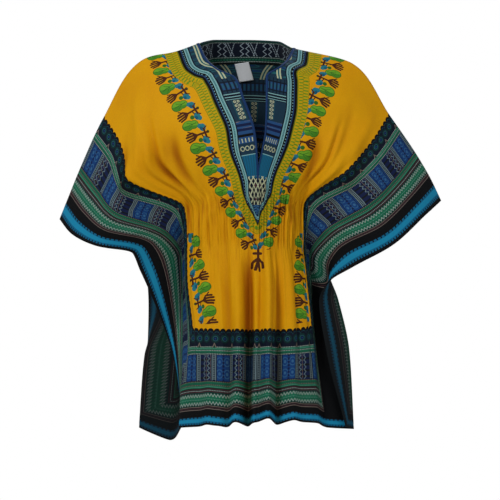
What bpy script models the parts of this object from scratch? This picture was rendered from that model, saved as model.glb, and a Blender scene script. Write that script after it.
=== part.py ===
"""A women's dashiki top of the butterfly cut, filled out as it hangs when it is worn.

One full width of cloth is the front with its sleeve wings and another is the back. Each panel is a
surface over the flat cloth: "across" is the distance from the middle of the cloth and "drop" is the
distance down from the shoulder seam, both in millimetres. Sections give where six lines that run down
the cloth lie in space, and curves through them give every other point.
"""

import math
from collections import namedtuple

import bmesh
import bpy
import numpy as np

MM = 0.001

# Sizes of the cut, in millimetres.
HALF_CLOTH = 545.0
CLOTH_LENGTH = 745.0
NECK_HALF_WIDTH = 92.0
NECK_TURN = 66.0
NECK_DEPTH = 85.0
SLIT_END = 290.0
WAIST_TOP = 316.0
WAIST_LOW = 368.0

# Thicknesses, in millimetres.
CLOTH = 1.4
TRIM = 1.0
SEAM_GAP = 0.3

# Lines down the cloth, by their distance from its middle.
CHEST_LINE = 185.0
SCALLOP_LINE = 345.0
CREASE_LINE = 448.0
WING_LINE = 497.0

# Each section is one row across the cloth, at its drop. A place is (right, back, up) in millimetres
# from the middle of the shoulders.
Section = namedtuple("Section", "drop chest scallop crease wing edge")

FRONT_LEFT = (
    Section(0, (-204, 3, -20), (-280, -2, -135), (-327, -4, -238), (-346, -5, -285), (-364, -6, -330)),
    Section(90, (-188, -56, -92), (-247, -50, -188), (-293, -56, -281), (-317, -54, -322), (-337, -50, -360)),
    Section(200, (-138, -92, -192), (-234, -80, -252), (-256, -88, -322), (-275, -88, -355), (-286, -84, -383)),
    Section(320, (-63, -76, -306), (-122, -38, -310), (-159, -44, -359), (-192, -60, -376), (-223, -64, -394)),
    Section(370, (-60, -76, -365), (-116, -34, -367), (-128, -0.7, -402), (-169, -40, -413), (-206, -46, -430)),
    Section(450, (-56, -84, -441), (-115, -42, -439), (-126, -0.7, -472), (-151, -18, -486), (-176, -26, -500)),
    Section(580, (-48, -100, -570), (-103, -66, -570), (-126, -30, -585), (-134, -12, -598), (-141, 4, -604)),
    Section(745, (-52, -116, -727), (-106, -88, -731), (-130, -68, -733), (-126, -28, -731), (-122, 12, -729)),
)

FRONT_RIGHT = (
    Section(0, (206, 3, -26), (280, -2, -129), (333, -4, -207), (358, -5, -250), (379, -6, -294)),
    Section(90, (176, -56, -95), (243, -52, -186), (293, -56, -258), (321, -56, -291), (347, -52, -322)),
    Section(200, (126, -92, -192), (196, -82, -238), (241, -88, -308), (264, -88, -346), (284, -84, -379)),
    Section(320, (75, -76, -306), (112, -38, -306), (153, -44, -363), (178, -58, -394), (202, -66, -425)),
    Section(370, (73, -76, -365), (110, -34, -367), (124, -0.7, -406), (160, -40, -430), (163, -56, -449)),
    Section(450, (77, -84, -441), (116, -44, -433), (128, -0.7, -472), (178, -22, -486), (141, -44, -490)),
    Section(580, (79, -100, -570), (128, -66, -566), (136, -30, -582), (200, -30, -590), (156, -58, -590)),
    Section(745, (79, -116, -720), (134, -92, -723), (156, -64, -733), (208, -40, -737), (192, -62, -731)),
)

# The back hangs like the front down to the underarm. Its tails are its own.
BACK_TAIL_LEFT = (
    Section(370, (-60, 76, -365), (-112, 36, -367), (-128, 0.7, -402), (-165, 30, -415), (-196, 44, -440)),
    Section(450, (-62, 86, -441), (-112, 48, -440), (-126, 0.7, -472), (-165, 18, -490), (-192, 32, -500)),
    Section(580, (-66, 102, -564), (-118, 72, -570), (-134, 44, -588), (-200, 34, -598), (-196, 72, -600)),
    Section(745, (-68, 114, -718), (-124, 92, -736), (-150, 62, -764), (-211, 44, -738), (-204, 88, -736)),
)

BACK_TAIL_RIGHT = (
    Section(370, (73, 76, -365), (108, 36, -367), (124, 0.7, -406), (140, 24, -425), (158, 40, -446)),
    Section(450, (74, 86, -441), (114, 48, -436), (128, 0.7, -472), (152, 20, -488), (172, 40, -502)),
    Section(580, (76, 102, -562), (124, 72, -564), (150, 30, -588), (182, 24, -592), (192, 62, -598)),
    Section(745, (78, 114, -714), (132, 92, -714), (168, 56, -718), (200, 36, -724), (194, 82, -726)),
)

# The inner line of the front: the neck edge, then the edge of the slit, then the middle of the front.
InnerRow = namedtuple("InnerRow", "drop across left_x left_z right_x right_z back")

FRONT_INNER = (
    InnerRow(0, 92, -93, 14, 91, 4, 12),
    InnerRow(40, 70, -77, -20, 79, -20, -28),
    InnerRow(65, 40, -54, -41, 65, -35, -60),
    InnerRow(85, 0, -22, -57, 38, -55, -80),
    InnerRow(130, 0, -5, -98, 38, -98, -100),
    InnerRow(200, 0, 16, -162, 36, -162, -112),
    InnerRow(240, 0, 20, -198, 30, -198, -114),
    InnerRow(290, 0, 22, -250, 22, -250, -110),
    InnerRow(320, 0, 22, -300, 22, -300, -96),
    InnerRow(370, 0, 22, -363, 22, -363, -92),
    InnerRow(450, 0, 22, -439, 22, -439, -100),
    InnerRow(580, 0, 20, -570, 20, -570, -114),
    InnerRow(745, 0, 17, -720, 17, -720, -130),
)

# The middle of the back, the turn of the back neck, and the line down from the side of the neck.
BackRow = namedtuple("BackRow", "drop middle neck_turn neck_side")

BACK_MIDDLE = (
    BackRow(0, (0, 78, 24), (62, 56, 23), (93, 12, 14)),
    BackRow(90, (0, 100, -58), (62, 97, -61), (90, 90, -70)),
    BackRow(200, (0, 112, -165), (50, 110, -169), (70, 108, -172)),
    BackRow(320, (2, 84, -300), (24, 84, -301), (34, 83, -302)),
    BackRow(370, (4, 80, -364), (24, 80, -364), (34, 80, -364)),
    BackRow(450, (5, 90, -438), (26, 90, -438), (36, 90, -438)),
    BackRow(580, (5, 106, -562), (28, 106, -562), (38, 106, -562)),
    BackRow(745, (5, 118, -716), (28, 118, -716), (38, 118, -716)),
)

# Gathers of the shirred waist: their number from side seam to side seam, and how far they stand out.
FRONT_GATHERS = 22
BACK_GATHERS = 14
GATHER_HEIGHT = 3.4
GATHER_SWAY = 0.5
GATHER_SWAY_RATE = 0.23
GATHER_CHANGE = 0.25
GATHER_CHANGE_RATE = 0.37

# Soft folds: where each starts and ends on the flat cloth, its height (minus for a trough) and width.
Fold = namedtuple("Fold", "start_across start_drop end_across end_drop height width")

FRONT_FOLDS = (
    Fold(-235, 372, -245, 745, 6, 30),
    Fold(-140, 372, -150, 745, -8, 28),
    Fold(-95, 372, -100, 745, 7, 26),
    Fold(-42, 372, -45, 745, -13, 26),
    Fold(60, 372, 62, 745, 14, 34),
    Fold(130, 372, 135, 745, -10, 28),
    Fold(200, 372, 215, 745, 7, 30),
    Fold(-335, 300, -215, 120, 9, 24),
    Fold(-300, 300, -165, 150, -7, 22),
    Fold(-390, 290, -320, 70, -9, 26),
    Fold(-430, 300, -420, 110, 7, 24),
    Fold(335, 300, 235, 120, 9, 24),
    Fold(300, 300, 170, 160, -7, 22),
    Fold(390, 290, 330, 60, -9, 26),
    Fold(430, 300, 430, 120, 7, 24),
)

BACK_FOLDS = (
    Fold(-70, 372, -85, 745, 9, 32),
    Fold(0, 372, 5, 745, -9, 30),
    Fold(75, 372, 90, 745, 9, 32),
    Fold(-160, 372, -175, 745, -8, 30),
    Fold(165, 372, 180, 745, -8, 30),
    Fold(-330, 300, -250, 70, 9, 28),
    Fold(330, 300, 250, 80, 9, 28),
    Fold(-410, 300, -400, 100, -7, 28),
    Fold(405, 300, 405, 110, -7, 28),
)

# A fold rises and dies away over these shares of its length.
FOLD_RISES = (-0.05, 0.35)
FOLD_DIES = (0.6, 1.05)

# How far the hem rises with each ridge and sinks with each trough, as a share of the fold's height.
HEM_LIFT = 0.45
HEM_ZONE = 165.0

# The right end of the back neck lies lower, as the shoulder does there.
RIGHT_NECK_SHIFT = -2.0
RIGHT_NECK_DROP = -10.0
RIGHT_TURN_DROP = -3.0
RIGHT_NECK_FADE = 20.0

# The left shoulder dips a little beside the neck.
SHOULDER_DIP = 5.0
DIP_ACROSS = 130.0
DIP_WIDTH = 26.0
DIP_FADE = 70.0

# How far from a seam the cloth takes to turn to its own direction.
SEAM_REACH = 22.0
SLIT_BLEND = 80.0
WAIST_FADE = 32.0
BACK_EDGE_LOWER = 1.0

# Trims, in millimetres and degrees.
FACING_DEPTH = 51.0
BINDING_WIDTH = 4.5
BINDING_GAP = 0.4
LABEL_WIDTH = 31.0
LABEL_HEIGHT = 40.0
LABEL_ACROSS = -11.0
LABEL_DROP = 49.0
LABEL_TURN = 8.0
LABEL_LEAN = 16.0

# Spacing of the rows and numbers of columns.
PLAIN_ROW = 29.0
WAIST_ROW = 13.0
NECK_ROW = 14.0
SLIT_ROW = 25.0
FACING_ROW = 9.0
LEAST_STEP = 3.0
PLAIN_COLUMNS = 15
SKIRT_COLUMNS = 18
NECK_COLUMNS = 8
WING_COLUMNS = 6
LABEL_CELLS = 4

LINES = (
    ("chest", CHEST_LINE),
    ("scallop", SCALLOP_LINE),
    ("crease", CREASE_LINE),
    ("wing", WING_LINE),
    ("edge", HALF_CLOTH),
)


def monotone_slopes(knots, values):
    """Slopes at the knots of a curve that never swings past its own points."""
    steps = np.diff(knots)[:, None]
    chords = np.diff(values, axis=0) / steps
    before, after = steps[:-1], steps[1:]
    weight_before = 2 * after + before
    weight_after = after + 2 * before
    same_way = chords[:-1] * chords[1:] > 0
    safe_before = np.where(same_way, chords[:-1], 1.0)
    safe_after = np.where(same_way, chords[1:], 1.0)
    mean = (weight_before + weight_after) / (weight_before / safe_before + weight_after / safe_after)
    inner_slopes = np.where(same_way, mean, 0.0)
    return np.vstack([chords[:1], inner_slopes, chords[-1:]])


def curve_at(knots, values, places, slopes=None):
    """Points of a smooth curve through the values, at the given places along the knots."""
    knots = np.asarray(knots, dtype=float)
    values = np.asarray(values, dtype=float)
    places = np.clip(np.asarray(places, dtype=float), knots[0], knots[-1])
    if slopes is None:
        slopes = monotone_slopes(knots, values)
    piece = np.clip(np.searchsorted(knots, places, side="right") - 1, 0, len(knots) - 2)
    length = (knots[piece + 1] - knots[piece])[:, None]
    share = (places[:, None] - knots[piece][:, None]) / length
    start, end = values[piece], values[piece + 1]
    rise, fall = slopes[piece] * length, slopes[piece + 1] * length
    return (
        start * (2 * share**3 - 3 * share**2 + 1)
        + rise * (share**3 - 2 * share**2 + share)
        + end * (3 * share**2 - 2 * share**3)
        + fall * (share**3 - share**2)
    )


def smooth_step(low, high, value):
    share = np.clip((value - low) / (high - low), 0.0, 1.0)
    return share * share * (3 - 2 * share)


def turned_to_back(section):
    """The same section on the back of the garment, a little lower at its free edge."""
    if section.drop == 0:
        return section
    places = [(x, -y, z) for x, y, z in section[1:]]
    edge = places[-1]
    places[-1] = (edge[0], edge[1], edge[2] - BACK_EDGE_LOWER)
    return Section(section.drop, *places)


def front_inner(side, drop):
    """The inner line of the front at one drop: its place across the cloth and its point."""
    drops = [row.drop for row in FRONT_INNER]
    if side < 0:
        values = [(row.left_x, row.back, row.left_z, row.across) for row in FRONT_INNER]
    else:
        values = [(row.right_x, row.back, row.right_z, row.across) for row in FRONT_INNER]
    x, y, z, across = curve_at(drops, values, [drop])[0]
    return [across], [np.array([x, y, z])]


def back_inner(side, drop):
    """The middle of the back and the line below the side of the neck, at one drop."""
    drops = [row.drop for row in BACK_MIDDLE]
    middle = curve_at(drops, [row.middle for row in BACK_MIDDLE], [drop])[0]
    neck_turn = curve_at(drops, [row.neck_turn for row in BACK_MIDDLE], [drop])[0]
    neck_side = curve_at(drops, [row.neck_side for row in BACK_MIDDLE], [drop])[0]
    neck_turn[0] *= side
    neck_side[0] *= side
    if side > 0:
        neck_fade = math.exp(-drop / RIGHT_NECK_FADE)
        neck_side += neck_fade * np.array([RIGHT_NECK_SHIFT, 0.0, RIGHT_NECK_DROP])
        neck_turn[2] += neck_fade * RIGHT_TURN_DROP
    return [0.0, NECK_TURN, NECK_HALF_WIDTH], [middle, neck_turn, neck_side]


def front_trim_places(start, drop):
    return [start, start + BINDING_WIDTH]


def back_trim_places(start, drop):
    if drop > LABEL_DROP + LABEL_HEIGHT:
        return [start]
    return list(np.linspace(start, NECK_HALF_WIDTH, NECK_COLUMNS + 1))


class Panel:
    """One full width of cloth, front or back, as a surface over the flat cloth."""

    def __init__(self, left, right, inner, trim_places, facing, folds, gathers):
        self.sections = {-1: left, 1: right}
        self.inner = inner
        self.trim_places = trim_places
        self.facing = facing
        self.folds = folds
        self.gathers = gathers

    def inner_place(self, side, drop):
        """Where the row starts, across the cloth: the neck, the slit or the middle."""
        return self.inner(side, drop)[0][0]

    def row(self, side, drop, across):
        """Points of the bare surface along one row."""
        drop = min(max(drop, 0.0), CLOTH_LENGTH)
        places, points = self.inner(side, drop)
        sections = self.sections[side]
        drops = [section.drop for section in sections]
        for name, place in LINES:
            line = curve_at(drops, [getattr(section, name) for section in sections], [drop])
            places.append(place)
            points.append(line[0])
        places, points = np.array(places), np.array(points)
        slopes = monotone_slopes(places, points)
        if self.facing > 0:
            slopes[0, 1:] = 0.0
            hold = math.exp(-drop / SEAM_REACH)
            slopes[2] += hold * ((points[3] - points[2]) / (places[3] - places[2]) - slopes[2])
        else:
            slopes[0, 1:] *= 1 - smooth_step(SLIT_END - SLIT_BLEND, SLIT_END, drop)
        row = curve_at(places, points, across, slopes)
        if side < 0:
            dip = SHOULDER_DIP * math.exp(-drop / DIP_FADE)
            row[:, 2] -= dip * np.exp(-(((np.asarray(across) - DIP_ACROSS) / DIP_WIDTH) ** 2))
        return row

    def normals(self, side, drop, across):
        """Directions that point out of the garment, level with the seam along the shoulder."""
        down = self.row(side, drop + 1, across) - self.row(side, drop - 1, across)
        along = self.row(side, drop, across + 1) - self.row(side, drop, across - 1)
        normal = np.cross(along, down) * side * self.facing
        normal /= np.linalg.norm(normal, axis=1)[:, None]
        seam = np.stack([-along[:, 2], np.zeros(len(along)), along[:, 0]], axis=1) * side
        seam /= np.linalg.norm(seam, axis=1)[:, None]
        beside_neck = smooth_step(NECK_HALF_WIDTH - SEAM_REACH, NECK_HALF_WIDTH, across)
        share = math.exp(-drop / SEAM_REACH) * beside_neck
        normal += (seam - normal) * share[:, None]
        return normal / np.linalg.norm(normal, axis=1)[:, None]

    def fold_relief(self, drop, place):
        """How far the soft folds stand out of the bare surface."""
        height = np.zeros(len(place))
        for fold in self.folds:
            run_across = fold.end_across - fold.start_across
            run_drop = fold.end_drop - fold.start_drop
            length = math.hypot(run_across, run_drop)
            from_start = place - fold.start_across
            below_start = drop - fold.start_drop
            along = (from_start * run_across + below_start * run_drop) / length**2
            aside = (from_start * run_drop - below_start * run_across) / length
            fade = smooth_step(*FOLD_RISES, along)
            if fold.end_drop < CLOTH_LENGTH:
                fade = fade * (1 - smooth_step(*FOLD_DIES, along))
            height += fold.height * fade * np.exp(-((aside / fold.width) ** 2))
        return height

    def gather_relief(self, drop, place):
        """The wave of the shirred waist, uneven in height and spacing."""
        above = smooth_step(WAIST_TOP - WAIST_FADE, WAIST_TOP, drop)
        below = 1 - smooth_step(WAIST_LOW, WAIST_LOW + WAIST_FADE, drop)
        inside = 1 - smooth_step(SCALLOP_LINE, CREASE_LINE - SEAM_REACH, np.abs(place))
        turn = place / CREASE_LINE * self.gathers * math.pi
        uneven_spacing = GATHER_SWAY * np.sin(GATHER_SWAY_RATE * turn)
        uneven_height = 1 + GATHER_CHANGE * np.sin(GATHER_CHANGE_RATE * turn + 1)
        wave = np.cos(turn + uneven_spacing) * uneven_height
        return GATHER_HEIGHT / 2 * wave * above * below * inside

    def skin(self, side, drop, across, out=0.0):
        """Points along one row at the middle of the cloth, moved outward by a distance."""
        across = np.asarray(across, dtype=float)
        place = side * across
        relief = self.fold_relief(drop, place) + self.gather_relief(drop, place)
        reach = relief * smooth_step(0, SEAM_REACH, drop) + out
        points = self.row(side, drop, across) + self.normals(side, drop, across) * reach[:, None]
        points[:, 2] += HEM_LIFT * relief * smooth_step(CLOTH_LENGTH - HEM_ZONE, CLOTH_LENGTH, drop)
        points[:, 1] += self.facing * SEAM_GAP / 2
        return points


FRONT = Panel(
    FRONT_LEFT, FRONT_RIGHT, front_inner, front_trim_places, -1, FRONT_FOLDS, FRONT_GATHERS
)
BACK = Panel(
    tuple(turned_to_back(section) for section in FRONT_LEFT[:4]) + BACK_TAIL_LEFT,
    tuple(turned_to_back(section) for section in FRONT_RIGHT[:4]) + BACK_TAIL_RIGHT,
    back_inner,
    back_trim_places,
    1,
    BACK_FOLDS,
    BACK_GATHERS,
)


def zip_rows(upper, lower):
    """Triangles between two rows of points that may have different counts."""
    triangles = []
    first, second = 0, 0
    while first < len(upper) - 1 or second < len(lower) - 1:
        upper_share = (first + 1) / max(len(upper) - 1, 1)
        lower_share = (second + 1) / max(len(lower) - 1, 1)
        lower_done = second == len(lower) - 1
        if lower_done or (first < len(upper) - 1 and upper_share <= lower_share):
            triangles.append((upper[first], upper[first + 1], lower[second]))
            first += 1
        else:
            triangles.append((upper[first], lower[second + 1], lower[second]))
            second += 1
    return triangles


class Wall:
    """A sheet of rows that is given its thickness and closed round its edges."""

    def __init__(self, faces_front=False):
        self.outer = []
        self.inner = []
        self.triangles = []
        self.faces_front = faces_front

    def add_row(self, outer_points, inner_points):
        """Adds a row of point pairs and gives back their numbers."""
        start = len(self.outer)
        self.outer.extend(outer_points)
        self.inner.extend(inner_points)
        return list(range(start, len(self.outer)))

    def add_strip(self, rows):
        for upper, lower in zip(rows, rows[1:]):
            for a, b, c in zip_rows(upper, lower):
                self.triangles.append((c, b, a) if self.faces_front else (a, b, c))

    def mesh(self):
        made = bmesh.new()
        outer = [made.verts.new(point * MM) for point in self.outer]
        inner = [made.verts.new(point * MM) for point in self.inner]
        sides = set()
        for a, b, c in self.triangles:
            made.faces.new((outer[a], outer[b], outer[c]))
            made.faces.new((inner[c], inner[b], inner[a]))
            sides.update(((a, b), (b, c), (c, a)))
        for a, b in sorted(sides):
            if (b, a) not in sides:
                made.faces.new((outer[b], outer[a], inner[a]))
                made.faces.new((outer[b], inner[a], inner[b]))
        return made


def cloth_pair(panel, side, drop, across):
    """The outer and inner points of the cloth along one row."""
    return panel.skin(side, drop, across, CLOTH / 2), panel.skin(side, drop, across, -CLOTH / 2)


def drops_between(first, last, spacing):
    """Evenly spaced drops from the first to the last."""
    count = max(1, round((last - first) / spacing))
    return list(np.linspace(first, last, count + 1))


def panel_drops(bands):
    """Drops of a panel's rows from bands of (last drop, spacing)."""
    drops = [0.0]
    for last, spacing in bands:
        drops.extend(drops_between(drops[-1], last, spacing)[1:])
    return drops


def half_row_places(panel, side, drop):
    """Places of the points across one half row: closer over the gathers and where a trim lies."""
    start = panel.inner_place(side, drop)
    if WAIST_TOP - WAIST_FADE < drop < WAIST_LOW + WAIST_FADE:
        count = 2 * panel.gathers
    else:
        count = PLAIN_COLUMNS if drop < WAIST_TOP else SKIRT_COLUMNS
    body = np.linspace(start, CREASE_LINE, count + 1)[1:]
    wing = np.linspace(CREASE_LINE, HALF_CLOTH, WING_COLUMNS + 1)[1:]
    trim = panel.trim_places(start, drop)
    body = body[body > trim[-1] + LEAST_STEP]
    return np.concatenate([trim, body, wing])


def half_row(wall, panel, side, drop, skip_middle=False):
    places = half_row_places(panel, side, drop)
    if skip_middle:
        places = places[1:]
    outer, inner = cloth_pair(panel, side, drop, places)
    if side < 0:
        outer, inner = outer[::-1], inner[::-1]
    return wall.add_row(outer, inner)


def full_row(wall, panel, drop):
    """A row from edge to edge, with one point on the middle line."""
    left = half_row(wall, panel, -1, drop)
    right = half_row(wall, panel, 1, drop, skip_middle=True)
    return left + right


def front_drops():
    return panel_drops((
        (NECK_DEPTH, NECK_ROW),
        (WAIST_TOP - WAIST_FADE, SLIT_ROW),
        (SLIT_END, WAIST_ROW),
        (WAIST_LOW + WAIST_FADE, WAIST_ROW),
        (CLOTH_LENGTH, PLAIN_ROW),
    ))


def back_drops():
    return panel_drops((
        (FACING_DEPTH, FACING_ROW),
        (LABEL_DROP + LABEL_HEIGHT, NECK_ROW),
        (WAIST_TOP - WAIST_FADE, PLAIN_ROW),
        (WAIST_LOW + WAIST_FADE, WAIST_ROW),
        (CLOTH_LENGTH, PLAIN_ROW),
    ))


def front_wall():
    """The front: two halves beside the slit, and one sheet below it."""
    wall = Wall(faces_front=True)
    drops = front_drops()
    below = [full_row(wall, FRONT, drop) for drop in drops if drop >= SLIT_END]
    beside = [drop for drop in drops if drop < SLIT_END]
    left_count = len(half_row_places(FRONT, -1, SLIT_END))
    left = [half_row(wall, FRONT, -1, drop) for drop in beside] + [below[0][:left_count]]
    right = [half_row(wall, FRONT, 1, drop) for drop in beside] + [below[0][left_count - 1:]]
    for rows in (left, right, below):
        wall.add_strip(rows)
    return wall.mesh()


def back_wall():
    """The back: one sheet, its top row along the neck and the shoulders."""
    wall = Wall()
    wall.add_strip([full_row(wall, BACK, drop) for drop in back_drops()])
    return wall.mesh()


def facing_wall():
    """The band inside the back neck, on the rows and columns of the panel's inner side."""
    wall = Wall()
    under = -(CLOTH / 2 + SEAM_GAP)
    rows = []
    for drop in back_drops():
        if drop > FACING_DEPTH:
            break
        places = half_row_places(BACK, 1, drop)[:NECK_COLUMNS]
        near = [BACK.skin(side, drop, places, under) for side in (-1, 1)]
        far = [BACK.skin(side, drop, places, under - TRIM) for side in (-1, 1)]
        row_near = np.vstack([near[0][:0:-1], near[1]])
        row_far = np.vstack([far[0][:0:-1], far[1]])
        rows.append(wall.add_row(row_near, row_far))
    wall.add_strip(rows)
    return wall.mesh()


def binding_wall():
    """The binding along the front neck edge and round the slit, on the panel's own rows."""
    wall = Wall()
    over = CLOTH / 2 + BINDING_GAP
    beside = [drop for drop in front_drops() if drop < SLIT_END]
    path = [(-1, drop) for drop in beside] + [(1, drop) for drop in reversed(beside)]
    rows = []
    for side, drop in path:
        start = FRONT.inner_place(side, drop)
        places = [start, start + BINDING_WIDTH]
        outer = FRONT.skin(side, drop, places, over + TRIM)
        rows.append(wall.add_row(outer, FRONT.skin(side, drop, places, over)))
    tip = []
    for lift in (over + TRIM, over):
        tip.append([FRONT.skin(1, SLIT_END + down, [0.0], lift)[0] for down in (0.0, BINDING_WIDTH)])
    rows.insert(len(beside), wall.add_row(*tip))
    wall.add_strip(rows)
    return wall.mesh()


def label_wall():
    """The tag below the back neck facing, a small rectangle turned on the panel."""
    wall = Wall()
    under = -(CLOTH / 2 + SEAM_GAP + TRIM + SEAM_GAP)
    turn, lean = math.radians(LABEL_TURN), math.radians(LABEL_LEAN)
    rows = []
    for down in np.linspace(0, LABEL_HEIGHT, LABEL_CELLS + 1):
        near, far = [], []
        for right in np.linspace(-LABEL_WIDTH / 2, LABEL_WIDTH / 2, LABEL_CELLS + 1):
            place = LABEL_ACROSS + right * math.cos(turn) + down * math.sin(lean)
            drop = LABEL_DROP + down * math.cos(lean) - right * math.sin(turn)
            side = 1 if place >= 0 else -1
            near.append(BACK.skin(side, drop, [abs(place)], under)[0])
            far.append(BACK.skin(side, drop, [abs(place)], under - TRIM)[0])
        rows.append(wall.add_row(near, far))
    wall.add_strip(rows)
    return wall.mesh()


def cloth_material(name, colour, roughness):
    made = bpy.data.materials.new(name)
    made.use_nodes = True
    shader = made.node_tree.nodes["Principled BSDF"]
    shader.inputs["Base Color"].default_value = (*colour, 1.0)
    shader.inputs["Roughness"].default_value = roughness
    shader.inputs["Metallic"].default_value = 0.0
    return made


def add_object(name, model, finish):
    mesh = bpy.data.meshes.new(name)
    model.to_mesh(mesh)
    model.free()
    mesh.materials.append(finish)
    mesh.shade_smooth()
    made = bpy.data.objects.new(name, mesh)
    bpy.context.scene.collection.objects.link(made)
    return made


for old in list(bpy.data.objects):
    bpy.data.objects.remove(old, do_unlink=True)

add_object("front", front_wall(), cloth_material("printed_front", (0.75, 0.37, 0.01), 0.75))
add_object("back", back_wall(), cloth_material("printed_back", (0.72, 0.35, 0.01), 0.75))
add_object("back_neck_facing", facing_wall(), cloth_material("facing_print", (0.02, 0.06, 0.07), 0.8))
add_object("neck_binding", binding_wall(), cloth_material("blue_binding", (0.02, 0.08, 0.25), 0.7))
add_object("neck_label", label_wall(), cloth_material("tag", (0.8, 0.82, 0.85), 0.6))
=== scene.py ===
import math
from collections import namedtuple

import bmesh
import bpy
import numpy as np
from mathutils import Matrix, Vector


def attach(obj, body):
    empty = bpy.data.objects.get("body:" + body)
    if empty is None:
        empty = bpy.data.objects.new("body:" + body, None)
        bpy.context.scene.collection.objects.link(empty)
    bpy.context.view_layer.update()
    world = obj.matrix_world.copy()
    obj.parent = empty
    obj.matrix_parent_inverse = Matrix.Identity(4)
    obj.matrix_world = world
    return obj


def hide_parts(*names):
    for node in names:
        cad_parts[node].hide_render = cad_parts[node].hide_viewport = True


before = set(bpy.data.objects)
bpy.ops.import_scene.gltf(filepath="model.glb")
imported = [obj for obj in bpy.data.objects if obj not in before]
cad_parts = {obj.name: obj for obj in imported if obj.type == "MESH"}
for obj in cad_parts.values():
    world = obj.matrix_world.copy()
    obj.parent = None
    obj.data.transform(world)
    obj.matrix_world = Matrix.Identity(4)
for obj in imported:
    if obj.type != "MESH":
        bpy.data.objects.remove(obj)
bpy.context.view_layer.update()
mm = 0.001

# sizes of the cut and of how it hangs, in millimetres, the same as the solids
cut = {
    "halfCloth": 545.0,
    "clothLength": 745.0,
    "neckHalfWidth": 92.0,
    "neckTurn": 66.0,
    "slitEnd": 290.0,
    "waistTop": 316.0,
    "waistLow": 368.0,
    "cloth": 1.4,
    "chestLine": 185.0,
    "scallopLine": 345.0,
    "creaseLine": 448.0,
    "wingLine": 497.0,
    "gatherHeight": 3.4,
    "gatherSway": 0.5,
    "gatherSwayRate": 0.23,
    "gatherChange": 0.25,
    "gatherChangeRate": 0.37,
    "foldRises": (-0.05, 0.35),
    "foldDies": (0.6, 1.05),
    "hemLift": 0.45,
    "hemZone": 165.0,
    "rightNeckShift": -2.0,
    "rightNeckDrop": -10.0,
    "rightTurnDrop": -3.0,
    "rightNeckFade": 20.0,
    "shoulderDip": 5.0,
    "dipAcross": 130.0,
    "dipWidth": 26.0,
    "dipFade": 70.0,
    "seamReach": 22.0,
    "slitBlend": 80.0,
    "waistFade": 32.0,
    "backEdgeLower": 1.0,
    "frontGathers": 22,
    "backGathers": 14,
}

# the scene's own finer form: shirring, turned hems and small creases
shirring = {"finer": 2.35, "fineHeight": 1.35, "fineRows": (286, 312, 372, 400)}
hem = {"width": 9.0, "rise": 0.5, "stitch": 0.45, "seamDepth": 1.2}

# Each section is one row across the cloth, at its drop. A place is (right, back, up) in millimetres
# from the middle of the shoulders.
Section = namedtuple("Section", "drop chest scallop crease wing edge")

frontLeft = (
    Section(0, (-204, 3, -20), (-280, -2, -135), (-327, -4, -238), (-346, -5, -285), (-364, -6, -330)),
    Section(90, (-188, -56, -92), (-247, -50, -188), (-293, -56, -281), (-317, -54, -322), (-337, -50, -360)),
    Section(200, (-138, -92, -192), (-234, -80, -252), (-256, -88, -322), (-275, -88, -355), (-286, -84, -383)),
    Section(320, (-63, -76, -306), (-122, -38, -310), (-159, -44, -359), (-192, -60, -376), (-223, -64, -394)),
    Section(370, (-60, -76, -365), (-116, -34, -367), (-128, -0.7, -402), (-169, -40, -413), (-206, -46, -430)),
    Section(450, (-56, -84, -441), (-115, -42, -439), (-126, -0.7, -472), (-151, -18, -486), (-176, -26, -500)),
    Section(580, (-48, -100, -570), (-103, -66, -570), (-126, -30, -585), (-134, -12, -598), (-141, 4, -604)),
    Section(745, (-52, -116, -727), (-106, -88, -731), (-130, -68, -733), (-126, -28, -731), (-122, 12, -729)),
)

frontRight = (
    Section(0, (206, 3, -26), (280, -2, -129), (333, -4, -207), (358, -5, -250), (379, -6, -294)),
    Section(90, (176, -56, -95), (243, -52, -186), (293, -56, -258), (321, -56, -291), (347, -52, -322)),
    Section(200, (126, -92, -192), (196, -82, -238), (241, -88, -308), (264, -88, -346), (284, -84, -379)),
    Section(320, (75, -76, -306), (112, -38, -306), (153, -44, -363), (178, -58, -394), (202, -66, -425)),
    Section(370, (73, -76, -365), (110, -34, -367), (124, -0.7, -406), (160, -40, -430), (163, -56, -449)),
    Section(450, (77, -84, -441), (116, -44, -433), (128, -0.7, -472), (178, -22, -486), (141, -44, -490)),
    Section(580, (79, -100, -570), (128, -66, -566), (136, -30, -582), (200, -30, -590), (156, -58, -590)),
    Section(745, (79, -116, -720), (134, -92, -723), (156, -64, -733), (208, -40, -737), (192, -62, -731)),
)

# The back hangs like the front down to the underarm. Its tails are its own.
backTailLeft = (
    Section(370, (-60, 76, -365), (-112, 36, -367), (-128, 0.7, -402), (-165, 30, -415), (-196, 44, -440)),
    Section(450, (-62, 86, -441), (-112, 48, -440), (-126, 0.7, -472), (-165, 18, -490), (-192, 32, -500)),
    Section(580, (-66, 102, -564), (-118, 72, -570), (-134, 44, -588), (-200, 34, -598), (-196, 72, -600)),
    Section(745, (-68, 114, -718), (-124, 92, -736), (-150, 62, -764), (-211, 44, -738), (-204, 88, -736)),
)

backTailRight = (
    Section(370, (73, 76, -365), (108, 36, -367), (124, 0.7, -406), (140, 24, -425), (158, 40, -446)),
    Section(450, (74, 86, -441), (114, 48, -436), (128, 0.7, -472), (152, 20, -488), (172, 40, -502)),
    Section(580, (76, 102, -562), (124, 72, -564), (150, 30, -588), (182, 24, -592), (192, 62, -598)),
    Section(745, (78, 114, -714), (132, 92, -714), (168, 56, -718), (200, 36, -724), (194, 82, -726)),
)

# The inner line of the front: the neck edge, then the edge of the slit, then the middle of the front.
InnerRow = namedtuple("InnerRow", "drop across leftX leftZ rightX rightZ back")

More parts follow.
